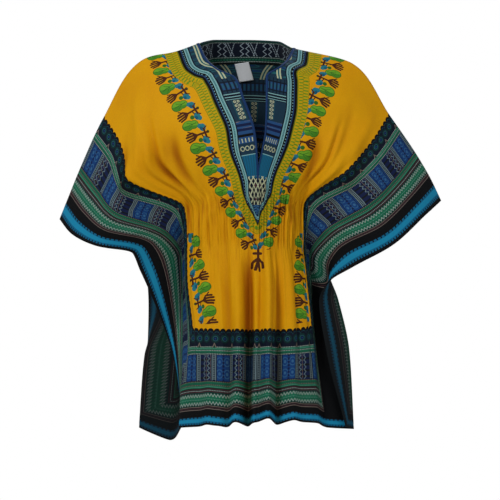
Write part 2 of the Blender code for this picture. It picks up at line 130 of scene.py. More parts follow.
frontMiddle = (
    InnerRow(0, 92, -93, 14, 91, 4, 12),
    InnerRow(40, 70, -77, -20, 79, -20, -28),
    InnerRow(65, 40, -54, -41, 65, -35, -60),
    InnerRow(85, 0, -22, -57, 38, -55, -80),
    InnerRow(130, 0, -5, -98, 38, -98, -100),
    InnerRow(200, 0, 16, -162, 36, -162, -112),
    InnerRow(240, 0, 20, -198, 30, -198, -114),
    InnerRow(290, 0, 22, -250, 22, -250, -110),
    InnerRow(320, 0, 22, -300, 22, -300, -96),
    InnerRow(370, 0, 22, -363, 22, -363, -92),
    InnerRow(450, 0, 22, -439, 22, -439, -100),
    InnerRow(580, 0, 20, -570, 20, -570, -114),
    InnerRow(745, 0, 17, -720, 17, -720, -130),
)

# The middle of the back, the turn of the back neck, and the line down from the side of the neck.
BackRow = namedtuple("BackRow", "drop middle neckTurn neckSide")

backMiddle = (
    BackRow(0, (0, 78, 24), (62, 56, 23), (93, 12, 14)),
    BackRow(90, (0, 100, -58), (62, 97, -61), (90, 90, -70)),
    BackRow(200, (0, 112, -165), (50, 110, -169), (70, 108, -172)),
    BackRow(320, (2, 84, -300), (24, 84, -301), (34, 83, -302)),
    BackRow(370, (4, 80, -364), (24, 80, -364), (34, 80, -364)),
    BackRow(450, (5, 90, -438), (26, 90, -438), (36, 90, -438)),
    BackRow(580, (5, 106, -562), (28, 106, -562), (38, 106, -562)),
    BackRow(745, (5, 118, -716), (28, 118, -716), (38, 118, -716)),
)

# Soft folds: where each starts and ends on the flat cloth, its height (minus for a trough) and width.
Fold = namedtuple("Fold", "startAcross startDrop endAcross endDrop height width")

frontFolds = (
    Fold(-235, 372, -245, 745, 6, 30),
    Fold(-140, 372, -150, 745, -8, 28),
    Fold(-95, 372, -100, 745, 7, 26),
    Fold(-42, 372, -45, 745, -13, 26),
    Fold(60, 372, 62, 745, 14, 34),
    Fold(130, 372, 135, 745, -10, 28),
    Fold(200, 372, 215, 745, 7, 30),
    Fold(-335, 300, -215, 120, 9, 24),
    Fold(-300, 300, -165, 150, -7, 22),
    Fold(-390, 290, -320, 70, -9, 26),
    Fold(-430, 300, -420, 110, 7, 24),
    Fold(335, 300, 235, 120, 9, 24),
    Fold(300, 300, 170, 160, -7, 22),
    Fold(390, 290, 330, 60, -9, 26),
    Fold(430, 300, 430, 120, 7, 24),
)

backFolds = (
    Fold(-70, 372, -85, 745, 9, 32),
    Fold(0, 372, 5, 745, -9, 30),
    Fold(75, 372, 90, 745, 9, 32),
    Fold(-160, 372, -175, 745, -8, 30),
    Fold(165, 372, 180, 745, -8, 30),
    Fold(-330, 300, -250, 70, 9, 28),
    Fold(330, 300, 250, 80, 9, 28),
    Fold(-410, 300, -400, 100, -7, 28),
    Fold(405, 300, 405, 110, -7, 28),
)

frontCreases = (
    Fold(-274, 298, -206, 118, -8.5, 10),
    Fold(-262, 304, -196, 124, 4.5, 9),
    Fold(-236, 300, -172, 176, -5.0, 9),
    Fold(-314, 302, -264, 150, -6.5, 11),
    Fold(-256, 298, -146, 150, -5.5, 13),
    Fold(300, 306, 226, 105, -8.0, 10),
    Fold(286, 308, 212, 118, 4.0, 9),
    Fold(282, 304, 168, 150, -6.0, 12),
    Fold(-350, 308, -318, 190, 5.0, 12),
    Fold(338, 310, 300, 170, 5.0, 12),
    Fold(-262, 352, -70, 292, 3.2, 7),
    Fold(-285, 345, -120, 225, -3.4, 9),
    Fold(-300, 335, -175, 175, 3.4, 8),
    Fold(-318, 330, -255, 150, -3.6, 9),
    Fold(-350, 330, -330, 150, 4.0, 10),
    Fold(-372, 340, -440, 190, -4.2, 12),
    Fold(-400, 352, -500, 240, 4.0, 11),
    Fold(-150, 70, -270, 190, -3.0, 16),
    Fold(-235, 60, -300, 230, 4.4, 20),
    Fold(262, 352, 90, 300, 3.2, 7),
    Fold(282, 345, 125, 230, -3.6, 9),
    Fold(300, 338, 185, 165, 3.6, 9),
    Fold(322, 332, 262, 120, -4.2, 11),
    Fold(352, 330, 345, 120, 4.2, 11),
    Fold(378, 340, 430, 170, -4.0, 12),
    Fold(405, 352, 505, 230, 4.0, 11),
    Fold(240, 60, 300, 230, -4.4, 18),
    Fold(300, 30, 330, 200, 4.0, 18),
    Fold(-40, 384, -46, 745, -8.0, 20),
    Fold(58, 384, 62, 745, 5.0, 20),
    Fold(18, 376, 14, 745, -5.0, 14),
    Fold(-20, 372, -8, 560, 4.0, 9),
    Fold(-62, 380, -70, 610, -3.4, 8),
    Fold(25, 380, 30, 745, -4.2, 10),
    Fold(92, 380, 96, 700, -4.6, 10),
    Fold(112, 378, 118, 560, 3.4, 8),
    Fold(-118, 380, -122, 540, 3.2, 9),
    Fold(-170, 378, -182, 640, 3.0, 9),
    Fold(-205, 382, -212, 560, -3.2, 9),
    Fold(160, 380, 168, 600, 3.6, 9),
    Fold(235, 380, 250, 700, -4.0, 10),
    Fold(-300, 400, -330, 700, 3.4, 12),
    Fold(310, 410, 330, 700, -3.4, 12),
)

backCreases = (
    Fold(-282, 345, -120, 215, -3.4, 9),
    Fold(-318, 330, -240, 130, 3.8, 11),
    Fold(-352, 330, -350, 130, -4.0, 11),
    Fold(-395, 350, -480, 220, 4.0, 12),
    Fold(282, 345, 125, 210, -3.4, 9),
    Fold(320, 332, 250, 125, 3.8, 11),
    Fold(352, 330, 350, 130, -4.0, 11),
    Fold(395, 350, 480, 220, 4.0, 12),
    Fold(-28, 376, -34, 640, 4.0, 9),
    Fold(34, 378, 44, 700, -4.0, 10),
    Fold(-112, 378, -126, 700, -4.2, 10),
    Fold(118, 380, 130, 620, 3.8, 9),
    Fold(-205, 380, -225, 700, 3.8, 10),
    Fold(210, 380, 228, 660, -3.8, 10),
    Fold(-60, 60, -20, 200, 2.4, 26),
    Fold(70, 70, 30, 210, -2.4, 26),
)

lines = (
    ("chest", cut["chestLine"]),
    ("scallop", cut["scallopLine"]),
    ("crease", cut["creaseLine"]),
    ("wing", cut["wingLine"]),
    ("edge", cut["halfCloth"]),
)


def monotoneSlopes(knots, values):
    # Slopes at the knots of a curve that never swings past its own points.
    steps = np.diff(knots)[:, None]
    chords = np.diff(values, axis=0) / steps
    before, after = steps[:-1], steps[1:]
    weightBefore = 2 * after + before
    weightAfter = after + 2 * before
    sameWay = chords[:-1] * chords[1:] > 0
    safeBefore = np.where(sameWay, chords[:-1], 1.0)
    safeAfter = np.where(sameWay, chords[1:], 1.0)
    mean = (weightBefore + weightAfter) / (weightBefore / safeBefore + weightAfter / safeAfter)
    innerSlopes = np.where(sameWay, mean, 0.0)
    return np.vstack([chords[:1], innerSlopes, chords[-1:]])


def curveAt(knots, values, places, slopes=None):
    # Points of a smooth curve through the values, at the given places along the knots.
    knots = np.asarray(knots, dtype=float)
    values = np.asarray(values, dtype=float)
    places = np.clip(np.asarray(places, dtype=float), knots[0], knots[-1])
    if slopes is None:
        slopes = monotoneSlopes(knots, values)
    piece = np.clip(np.searchsorted(knots, places, side="right") - 1, 0, len(knots) - 2)
    length = (knots[piece + 1] - knots[piece])[:, None]
    share = (places[:, None] - knots[piece][:, None]) / length
    start, end = values[piece], values[piece + 1]
    rise, fall = slopes[piece] * length, slopes[piece + 1] * length
    return (
        start * (2 * share**3 - 3 * share**2 + 1)
        + rise * (share**3 - 2 * share**2 + share)
        + end * (3 * share**2 - 2 * share**3)
        + fall * (share**3 - share**2)
    )


def smoothStep(low, high, value):
    share = np.clip((value - low) / (high - low), 0.0, 1.0)
    return share * share * (3 - 2 * share)


def turnedToBack(section):
    # The same section on the back of the garment, a little lower at its free edge.
    if section.drop == 0:
        return section
    places = [(x, -y, z) for x, y, z in section[1:]]
    edge = places[-1]
    places[-1] = (edge[0], edge[1], edge[2] - cut["backEdgeLower"])
    return Section(section.drop, *places)


def frontInner(side, drop):
    # The inner line of the front at one drop: its place across the cloth and its point.
    drops = [row.drop for row in frontMiddle]
    if side < 0:
        values = [(row.leftX, row.back, row.leftZ, row.across) for row in frontMiddle]
    else:
        values = [(row.rightX, row.back, row.rightZ, row.across) for row in frontMiddle]
    x, y, z, across = curveAt(drops, values, [drop])[0]
    return [across], [np.array([x, y, z])]


def backInner(side, drop):
    # The middle of the back and the line below the side of the neck, at one drop.
    drops = [row.drop for row in backMiddle]
    middle = curveAt(drops, [row.middle for row in backMiddle], [drop])[0]
    neckTurn = curveAt(drops, [row.neckTurn for row in backMiddle], [drop])[0]
    neckSide = curveAt(drops, [row.neckSide for row in backMiddle], [drop])[0]
    neckTurn[0] *= side
    neckSide[0] *= side
    if side > 0:
        neckFade = math.exp(-drop / cut["rightNeckFade"])
        neckSide += neckFade * np.array([cut["rightNeckShift"], 0.0, cut["rightNeckDrop"]])
        neckTurn[2] += neckFade * cut["rightTurnDrop"]
    return [0.0, cut["neckTurn"], cut["neckHalfWidth"]], [middle, neckTurn, neckSide]


class Panel:
    # One full width of cloth, front or back, as a surface over the flat cloth.

    def __init__(self, left, right, inner, facing, folds, creases, gathers):
        self.sections = {-1: left, 1: right}
        self.inner = inner
        self.facing = facing
        self.folds = folds
        self.creases = creases
        self.gathers = gathers

    def innerPlace(self, side, drop):
        # Where the row starts, across the cloth: the neck, the slit or the middle.
        return self.inner(side, drop)[0][0]

    def row(self, side, drop, across):
        # Points of the bare surface along one row.
        drop = min(max(drop, 0.0), cut["clothLength"])
        places, points = self.inner(side, drop)
        sections = self.sections[side]
        drops = [section.drop for section in sections]
        for name, place in lines:
            line = curveAt(drops, [getattr(section, name) for section in sections], [drop])
            places.append(place)
            points.append(line[0])
        places, points = np.array(places), np.array(points)
        slopes = monotoneSlopes(places, points)
        if self.facing > 0:
            slopes[0, 1:] = 0.0
            hold = math.exp(-drop / cut["seamReach"])
            slopes[2] += hold * ((points[3] - points[2]) / (places[3] - places[2]) - slopes[2])
        else:
            slopes[0, 1:] *= 1 - smoothStep(cut["slitEnd"] - cut["slitBlend"], cut["slitEnd"], drop)
        row = curveAt(places, points, across, slopes)
        if side < 0:
            dip = cut["shoulderDip"] * math.exp(-drop / cut["dipFade"])
            row[:, 2] -= dip * np.exp(-(((np.asarray(across) - cut["dipAcross"]) / cut["dipWidth"]) ** 2))
        return row

    def normals(self, side, drop, across):
        # Directions that point out of the garment, level with the seam along the shoulder.
        down = self.row(side, drop + 1, across) - self.row(side, drop - 1, across)
        along = self.row(side, drop, across + 1) - self.row(side, drop, across - 1)
        normal = np.cross(along, down) * side * self.facing
        normal /= np.linalg.norm(normal, axis=1)[:, None]
        seam = np.stack([-along[:, 2], np.zeros(len(along)), along[:, 0]], axis=1) * side
        seam /= np.linalg.norm(seam, axis=1)[:, None]
        besideNeck = smoothStep(cut["neckHalfWidth"] - cut["seamReach"], cut["neckHalfWidth"], across)
        share = math.exp(-drop / cut["seamReach"]) * besideNeck
        normal += (seam - normal) * share[:, None]
        return normal / np.linalg.norm(normal, axis=1)[:, None]

    def foldRelief(self, drop, place, folds):
        # How far the soft folds stand out of the bare surface.
        height = np.zeros(len(place))
        for fold in folds:
            runAcross = fold.endAcross - fold.startAcross
            runDrop = fold.endDrop - fold.startDrop
            length = math.hypot(runAcross, runDrop)
            fromStart = place - fold.startAcross
            belowStart = drop - fold.startDrop
            along = (fromStart * runAcross + belowStart * runDrop) / length**2
            aside = (fromStart * runDrop - belowStart * runAcross) / length
            fade = smoothStep(*cut["foldRises"], along)
            if fold.endDrop < cut["clothLength"]:
                fade = fade * (1 - smoothStep(*cut["foldDies"], along))
            height += fold.height * fade * np.exp(-((aside / fold.width) ** 2))
        return height

    def gatherRelief(self, drop, place):
        # The wave of the shirred waist, uneven in height and spacing.
        above = smoothStep(cut["waistTop"] - cut["waistFade"], cut["waistTop"], drop)
        below = 1 - smoothStep(cut["waistLow"], cut["waistLow"] + cut["waistFade"], drop)
        inside = 1 - smoothStep(cut["scallopLine"], cut["creaseLine"] - cut["seamReach"], np.abs(place))
        turn = place / cut["creaseLine"] * self.gathers * math.pi
        unevenSpacing = cut["gatherSway"] * np.sin(cut["gatherSwayRate"] * turn)
        unevenHeight = 1 + cut["gatherChange"] * np.sin(cut["gatherChangeRate"] * turn + 1)
        wave = np.cos(turn + unevenSpacing) * unevenHeight
        fine = np.sin(turn * shirring["finer"] + 2.2 * np.sin(0.31 * turn)) * shirring["fineHeight"]
        fine = fine * smoothStep(*shirring["fineRows"][:2], drop) * (1 - smoothStep(*shirring["fineRows"][2:], drop))
        return (cut["gatherHeight"] / 2 * wave * above * below + fine) * inside

    def edgeRelief(self, drop, across):
        # The turned hem stands a little proud, with its row of stitches pulled in, and the side seam is a groove.
        fromEdge = np.minimum(cut["halfCloth"] - across, cut["clothLength"] - drop)
        turned = hem["rise"] * (1 - smoothStep(hem["width"], hem["width"] + 2.5, fromEdge))
        stitched = hem["stitch"] * np.exp(-(((fromEdge - hem["width"]) / 1.8) ** 2))
        seam = hem["seamDepth"] * np.exp(-(((across - cut["creaseLine"]) / 4.0) ** 2))
        seam = seam * smoothStep(350, 372, drop) * (1 - smoothStep(450, 470, drop))
        return turned - stitched - seam

    def relief(self, drop, place):
        return self.foldRelief(drop, place, self.folds + self.creases) + self.gatherRelief(drop, place)

    def skin(self, side, drop, across, out=0.0):
        # Points along one row at the middle of the cloth, moved outward by a distance.
        across = np.asarray(across, dtype=float)
        place = side * across
        relief = self.relief(drop, place) + self.edgeRelief(drop, across)
        reach = relief * smoothStep(0, cut["seamReach"], drop) + out
        points = self.row(side, drop, across) + self.normals(side, drop, across) * reach[:, None]
        atHem = smoothStep(cut["clothLength"] - cut["hemZone"], cut["clothLength"], drop)
        points[:, 2] += cut["hemLift"] * self.foldRelief(drop, place, self.folds) * atHem
        return points


front = Panel(frontLeft, frontRight, frontInner, -1, frontFolds, frontCreases, cut["frontGathers"])
back = Panel(
    tuple(turnedToBack(section) for section in frontLeft[:4]) + backTailLeft,
    tuple(turnedToBack(section) for section in frontRight[:4]) + backTailRight,
    backInner,
    1,
    backFolds,
    backCreases,
    cut["backGathers"],
)


# grid of the shown cloth: rows down and columns across, in millimetres of flat cloth
grid = {
    "rowBands": ((0, 90, 4.0), (90, 284, 5.6), (284, 400, 3.9), (400, 745, 5.9)),
    "bodyColumns": 132,
    "wingColumns": 27,
    "shell": 0.9,
}


class Number:
    # One number in a shader, so that a pattern reads as a formula.

    def __init__(self, tree, socket):
        self.tree, self.socket = tree, socket

    def math(self, operation, *others):
        node = self.tree.nodes.new("ShaderNodeMath")
        node.operation = operation
        for slot, other in zip(node.inputs, others):
            if isinstance(other, Number):
                self.tree.links.new(other.socket, slot)
            else:
                slot.default_value = float(other)
        return Number(self.tree, node.outputs[0])

    def __add__(self, other):
        return self.math("ADD", self, other)

    def __sub__(self, other):
        return self.math("SUBTRACT", self, other)

    def __rsub__(self, other):
        return self.math("SUBTRACT", other, self)

    def __mul__(self, other):
        return self.math("MULTIPLY", self, other)

    def __truediv__(self, other):
        return self.math("DIVIDE", self, other)

    def __and__(self, other):
        return self.math("MULTIPLY", self, other)

    def __or__(self, other):
        return self.math("MAXIMUM", self, other)

    __radd__ = __add__
    __rmul__ = __mul__

    def least(self, other):
        return self.math("MINIMUM", self, other)

    def size(self):
        return self.math("ABSOLUTE", self)

    def between(self, low, high):
        return self.math("COMPARE", self, (low + high) / 2, (high - low) / 2)

    def near(self, other, width):
        return self.math("COMPARE", self, other, width)

    def under(self, other):
        return self.math("LESS_THAN", self, other)

    def over(self, other):
        return self.math("GREATER_THAN", self, other)

    def toRepeat(self, period):
        # distance to the nearest whole number of periods
        return self.math("PINGPONG", self, period / 2)

    def inRepeat(self, period):
        return self.math("FLOORED_MODULO", self, period)

    def root(self):
        return self.math("SQRT", self)

    def clamped(self):
        result = self.math("ADD", self, 0.0)
        result.socket.node.use_clamp = True
        return result

    def ramp(self, low, high):
        node = self.tree.nodes.new("ShaderNodeMapRange")
        node.interpolation_type = "SMOOTHSTEP"
        self.tree.links.new(self.socket, node.inputs["Value"])
        node.inputs["From Min"].default_value = low
        node.inputs["From Max"].default_value = high
        return Number(self.tree, node.outputs["Result"])


class Group:
    # A shader node group with named inputs and outputs, and its drawing tools.

    kinds = {"number": "NodeSocketFloat", "vector": "NodeSocketVector", "colour": "NodeSocketColor"}

    def __init__(self, name, inputs, outputs):
        self.tree = bpy.data.node_groups.new(name, "ShaderNodeTree")
        for label, kind in inputs:
            self.tree.interface.new_socket(label, in_out="INPUT", socket_type=self.kinds[kind])
        for label, kind in outputs:
            self.tree.interface.new_socket(label, in_out="OUTPUT", socket_type=self.kinds[kind])
        self.source = self.tree.nodes.new("NodeGroupInput")
        self.sink = self.tree.nodes.new("NodeGroupOutput")

    def value(self, label):
        return Number(self.tree, self.source.outputs[label])

    def axes(self, label):
        # the two numbers of a flat vector, in millimetres
        split = self.tree.nodes.new("ShaderNodeSeparateXYZ")
        self.tree.links.new(self.source.outputs[label], split.inputs[0])
        return Number(self.tree, split.outputs[0]) * 1000, Number(self.tree, split.outputs[1]) * 1000

    def give(self, label, result):
        self.tree.links.new(result.socket if isinstance(result, Number) else result, self.sink.inputs[label])

    def paint(self, under, mask, ink):
        # lay an ink over a colour where the mask is one
        mix = self.tree.nodes.new("ShaderNodeMix")
        mix.data_type = "RGBA"
        self.tree.links.new(mask.socket, mix.inputs[0])
        for slot, colour in ((mix.inputs[6], under), (mix.inputs[7], ink)):
            if isinstance(colour, tuple):
                slot.default_value = colour
            else:
                self.tree.links.new(colour, slot)
        return mix.outputs[2]

    def bands(self, place, span, stops):
        # plain bands of colour from one edge to the other
        ramp = self.tree.nodes.new("ShaderNodeValToRGB")
        ramp.color_ramp.interpolation = "CONSTANT"
        elements = ramp.color_ramp.elements
        elements.remove(elements[1])
        for number, (start, ink) in enumerate(stops):
            element = elements[0] if number == 0 else elements.new(start / span)
            element.position = start / span
            element.color = ink
        self.tree.links.new((place / span).socket, ramp.inputs[0])
        return ramp.outputs["Color"]

    def use(self, group, **links):
        node = self.tree.nodes.new("ShaderNodeGroup")
        node.node_tree = group.tree if isinstance(group, Group) else group
        for label, result in links.items():
            slot = node.inputs[label]
            if isinstance(result, Number):
                self.tree.links.new(result.socket, slot)
            elif isinstance(result, (int, float)):
                slot.default_value = result
            else:
                self.tree.links.new(result, slot)
        return node.outputs

    def noise(self, vector, scale, detail=2.0, rough=0.5):
        node = self.tree.nodes.new("ShaderNodeTexNoise")
        node.inputs["Scale"].default_value = scale
        node.inputs["Detail"].default_value = detail
        node.inputs["Roughness"].default_value = rough
        self.tree.links.new(vector, node.inputs["Vector"])
        return Number(self.tree, node.outputs["Fac"])

    def joined(self, first, second):
        node = self.tree.nodes.new("ShaderNodeCombineXYZ")
        for slot, number in zip(node.inputs, (first, second)):
            if isinstance(number, Number):
                self.tree.links.new(number.socket, slot)
            else:
                slot.default_value = number
        return node.outputs[0]

    def distance(self, first, second, place):
        # distance of a point (first, second) from a fixed place
        node = self.tree.nodes.new("ShaderNodeVectorMath")
        node.operation = "DISTANCE"
        self.tree.links.new(self.joined(first, second), node.inputs[0])
        node.inputs[1].default_value = (*place, 0.0)
        return Number(self.tree, node.outputs["Value"])


def ink(red, green, blue):
    # a print ink from its 0 to 255 screen values
    def linear(value):
        value /= 255
        return value / 12.92 if value <= 0.04045 else ((value + 0.055) / 1.055) ** 2.4

    return (linear(red), linear(green), linear(blue), 1.0)


inks = {
    "yellow": ink(218, 156, 3),
    "deepYellow": ink(208, 136, 2),
    "black": ink(7, 9, 12),
    "nearBlack": ink(14, 19, 24),
    "darkGreen": ink(12, 52, 46),
    "green": ink(26, 100, 74),
    "paleGreen": ink(82, 142, 122),
    "leafGreen": ink(104, 160, 38),
    "leafShade": ink(70, 132, 34),
    "leafVein": ink(48, 100, 32),
    "olive": ink(112, 116, 14),
    "oliveYellow": ink(188, 154, 10),
    "ribGreen": ink(96, 134, 26),
    "teal": ink(14, 98, 136),
    "brightTeal": ink(24, 132, 172),
    "dropTeal": ink(34, 116, 130),
    "dropDark": ink(20, 82, 110),
    "navy": ink(16, 28, 64),
    "deepNavy": ink(11, 20, 36),
    "dimBlue": ink(34, 66, 112),
    "flapBlue": ink(34, 72, 118),
    "flapGround": ink(24, 50, 68),
    "blue": ink(20, 58, 112),
    "paleBlue": ink(48, 94, 134),
    "aqua": ink(124, 172, 174),
    "aquaMiddle": ink(34, 90, 98),
    "blockWhite": ink(112, 134, 140),
    "facingWhite": ink(150, 166, 176),
    "white": ink(156, 168, 164),
    "cream": ink(176, 182, 150),
    "brown": ink(74, 38, 20),
    "plum": ink(72, 44, 50),
    "tan": ink(122, 108, 100),
}


def makeStroke():
    # mask of a straight stroke between two places
    group = Group("stroke", (("Point", "vector"), ("Start", "vector"), ("End", "vector"), ("Width", "number")), (("Mask", "number"),))
    tree = group.tree

    def vector(operation, first, second=None, scale=None):
        node = tree.nodes.new("ShaderNodeVectorMath")
        node.operation = operation
        tree.links.new(first, node.inputs[0])
        if second is not None:
            tree.links.new(second, node.inputs[1])
        if scale is not None:
            tree.links.new(scale, node.inputs["Scale"])
        return node

    sockets = group.source.outputs
    fromStart = vector("SUBTRACT", sockets["Point"], sockets["Start"]).outputs[0]
    run = vector("SUBTRACT", sockets["End"], sockets["Start"]).outputs[0]
    along = Number(tree, vector("DOT_PRODUCT", fromStart, run).outputs["Value"])
    share = (along / Number(tree, vector("DOT_PRODUCT", run, run).outputs["Value"])).clamped()
    nearest = vector("SCALE", run, scale=share.socket).outputs[0]
    away = Number(tree, vector("DISTANCE", fromStart, nearest).outputs["Value"])
    group.give("Mask", away.under(group.value("Width")))
    return group


def strokes(group, point, stroke, lines, width):
    # the union of several straight strokes
    mask = None
    for start, end in lines:
        node = group.tree.nodes.new("ShaderNodeGroup")
        node.node_tree = stroke.tree
        group.tree.links.new(point, node.inputs["Point"])
        node.inputs["Start"].default_value = (*start, 0.0)
        node.inputs["End"].default_value = (*end, 0.0)
        node.inputs["Width"].default_value = width
        drawn = Number(group.tree, node.outputs["Mask"])
        mask = drawn if mask is None else mask | drawn
    return mask


# the border along the hem and the sleeve ends: where each band starts, from the edge inwards
border = {
    "bands": (
        (0, "black"), (4, "teal"), (8, "brightTeal"), (14, "teal"), (18, "black"), (31, "nearBlack"),
        (39, "darkGreen"), (43, "green"), (62, "darkGreen"), (66, "nearBlack"), (75, "green"), (80, "darkGreen"),
        (82.5, "green"), (87.5, "nearBlack"), (90, "navy"), (142, "nearBlack"), (145, "green"), (149.5, "darkGreen"),
        (152.5, "green"), (157, "nearBlack"), (159, "deepNavy"),
    ),
    "span": 210.0,
    "zigzag": 6.4,
    "sidePanel": 43.0,
    "hemPanel": 37.0,
    "rosette": 19.0,
    "scallop": 12.4,
    "edge": 188.0,
}


def makeBorderPrint():
    group = Group(
        "borderPrint",
        (("From Edge", "number"), ("Along", "number"), ("Panel", "number")),
        (("Color", "colour"), ("Mask", "number")),
    )
    b, a, panel = group.value("From Edge"), group.value("Along"), group.value("Panel")
    colour = group.bands(b, border["span"], [(start, inks[name]) for start, name in border["bands"]])

    def lay(mask, name):
        nonlocal colour
        colour = group.paint(colour, mask, inks[name])

    # ticks where the stripe meets the black, and the thin lines above it
    lay(b.between(3, 6.6) & a.toRepeat(6.3).under(1.2), "black")
    lay(b.between(15.6, 18) & a.toRepeat(8.7).under(1.4), "black")
    lay(b.near(32.6, 0.55) | b.near(38.2, 0.5), "tan")
    lay(b.near(35.4, 0.6) | b.near(67.6, 0.7) | b.near(73.2, 0.6), "plum")
    # green band between two rows of zigzags
    zig = a.toRepeat(border["zigzag"])
    lay(b.near(zig * 1.9 + 41.4, 1.1) | b.near(63.4 - zig * 1.9, 1.1), "white")
    lay(b.between(40, 47) & zig.over(2.7) & b.under(zig * 1.9 + 39.5), "darkGreen")
    lay(b.near(52.4, 1.0) & a.toRepeat(3.2).under(0.9), "paleGreen")
    lay(b.near(zig * 1.5 + 47.6, 0.5), "darkGreen")
    lay(b.near(77.6, 0.8) & a.toRepeat(3.2).under(0.9), "paleGreen")
    lay(b.near(84.9, 0.8) & a.toRepeat(3.2).under(0.9), "darkGreen")
    lay(b.near(147.2, 0.8) & a.toRepeat(3.0).under(0.9), "darkGreen")
    lay(b.near(154.8, 0.8) & a.toRepeat(3.0).under(0.9), "paleGreen")
    # rows of dots
    dots = a.toRepeat(3.3).under(0.95)
    lay((b.near(70.2, 0.75) | b.near(144, 0.8) | b.near(151, 0.8) | b.near(158, 0.75)) & dots, "white")
    lay((b.near(81.3, 0.8) | b.near(88.6, 0.7)) & a.toRepeat(3.9).under(1.0), "tan")
    # panels: a ladder, then lobes or wavy lines in turn
    u = a.math("FLOORED_MODULO", a, panel)
    number = (a / panel).math("FLOOR", a / panel)
    odd = number.toRepeat(2.0)
    inBlock = b.between(91, 142)
    lobes = inBlock & (1 - odd)
    middle = (panel + 9.5) * 0.5
    aside = (u - middle).size()
    upDown = (b - 116.5).size()
    lobe = group.distance(aside, upDown * 0.72, (7.4, 8.6))
    lay(lobes & u.over(10), "blue")
    lay(lobes & lobe.under(6.6), "paleBlue")
    lay(lobes & lobe.under(5.4), "blue")
    lay(lobes & lobe.under(2.4), "paleBlue")
    lay(lobes & aside.under(1.9) & upDown.toRepeat(7).over(1.1), "navy")
    lay(lobes & aside.near(13.2, 0.6), "deepNavy")
    wave = b.toRepeat(9.6)
    wavy = inBlock & odd
    lay(wavy & u.over(10) & b.toRepeat(12.0).under(2.0), "nearBlack")
    lay(wavy & (u.near(wave * 1.05 + 13.0, 0.8) | u.near(28.4 - wave * 1.0, 0.75)), "blockWhite")
    lay(wavy & (u.near(20.2, 0.55) | u.near(11.4, 0.45)) & b.toRepeat(3.0).under(0.9), "tan")
    lay(inBlock & u.under(9.6), "deepNavy")
    ladder = u.near(1.4, 0.7) | u.near(7.9, 0.7) | (u.between(3.4, 5.9) & b.toRepeat(3.6).under(0.95))
    lay(inBlock & ladder, "blockWhite")
    # small peaks over the ladders, rosettes and the scalloped edge
    lay(b.between(157, 167) & (u - 4.6).size().under((167 - b) * 0.42), "tan")
    lay(b.between(157, 164) & (u - 4.6).size().under((164 - b) * 0.36), "darkGreen")
    ring = group.distance(a.toRepeat(border["rosette"]), b - 174.5, (0.0, 0.0))
    lay(ring.near(7.4, 0.85), "darkGreen")
    lay(ring.near(4.6, 0.7), "aquaMiddle")
    lay(ring.under(1.8), "blue")
    edge = (40.0 - a.toRepeat(border["scallop"]) * a.toRepeat(border["scallop"])).root() + border["edge"]
    lay(b.over(edge - 4.2), "black")
    lay(b.near(edge - 6.6, 0.5) & a.toRepeat(3.1).under(0.9), "aquaMiddle")
    group.give("Color", colour)
    group.give("Mask", b.under(edge))
    return group


# the yoke: bands inside its outline, and what lies in the flaps beside the slit
yoke = {
    "bands": (
        (0, "black"), (5.0, "dimBlue"), (6.6, "black"), (11.6, "aqua"), (14.0, "aquaMiddle"), (17.0, "aqua"),
        (19.4, "deepNavy"),
    ),
    "flap": (
        (0, "flapGround"), (116, "deepNavy"), (130, "flapGround"), (174, "flapBlue"),
        (180, "navy"), (185, "flapBlue"), (190, "navy"), (195, "flapBlue"), (201, "black"), (207, "flapBlue"),
        (221, "flapGround"), (246, "dropDark"), (290, "deepNavy"),
    ),
    "span": 350.0,
}


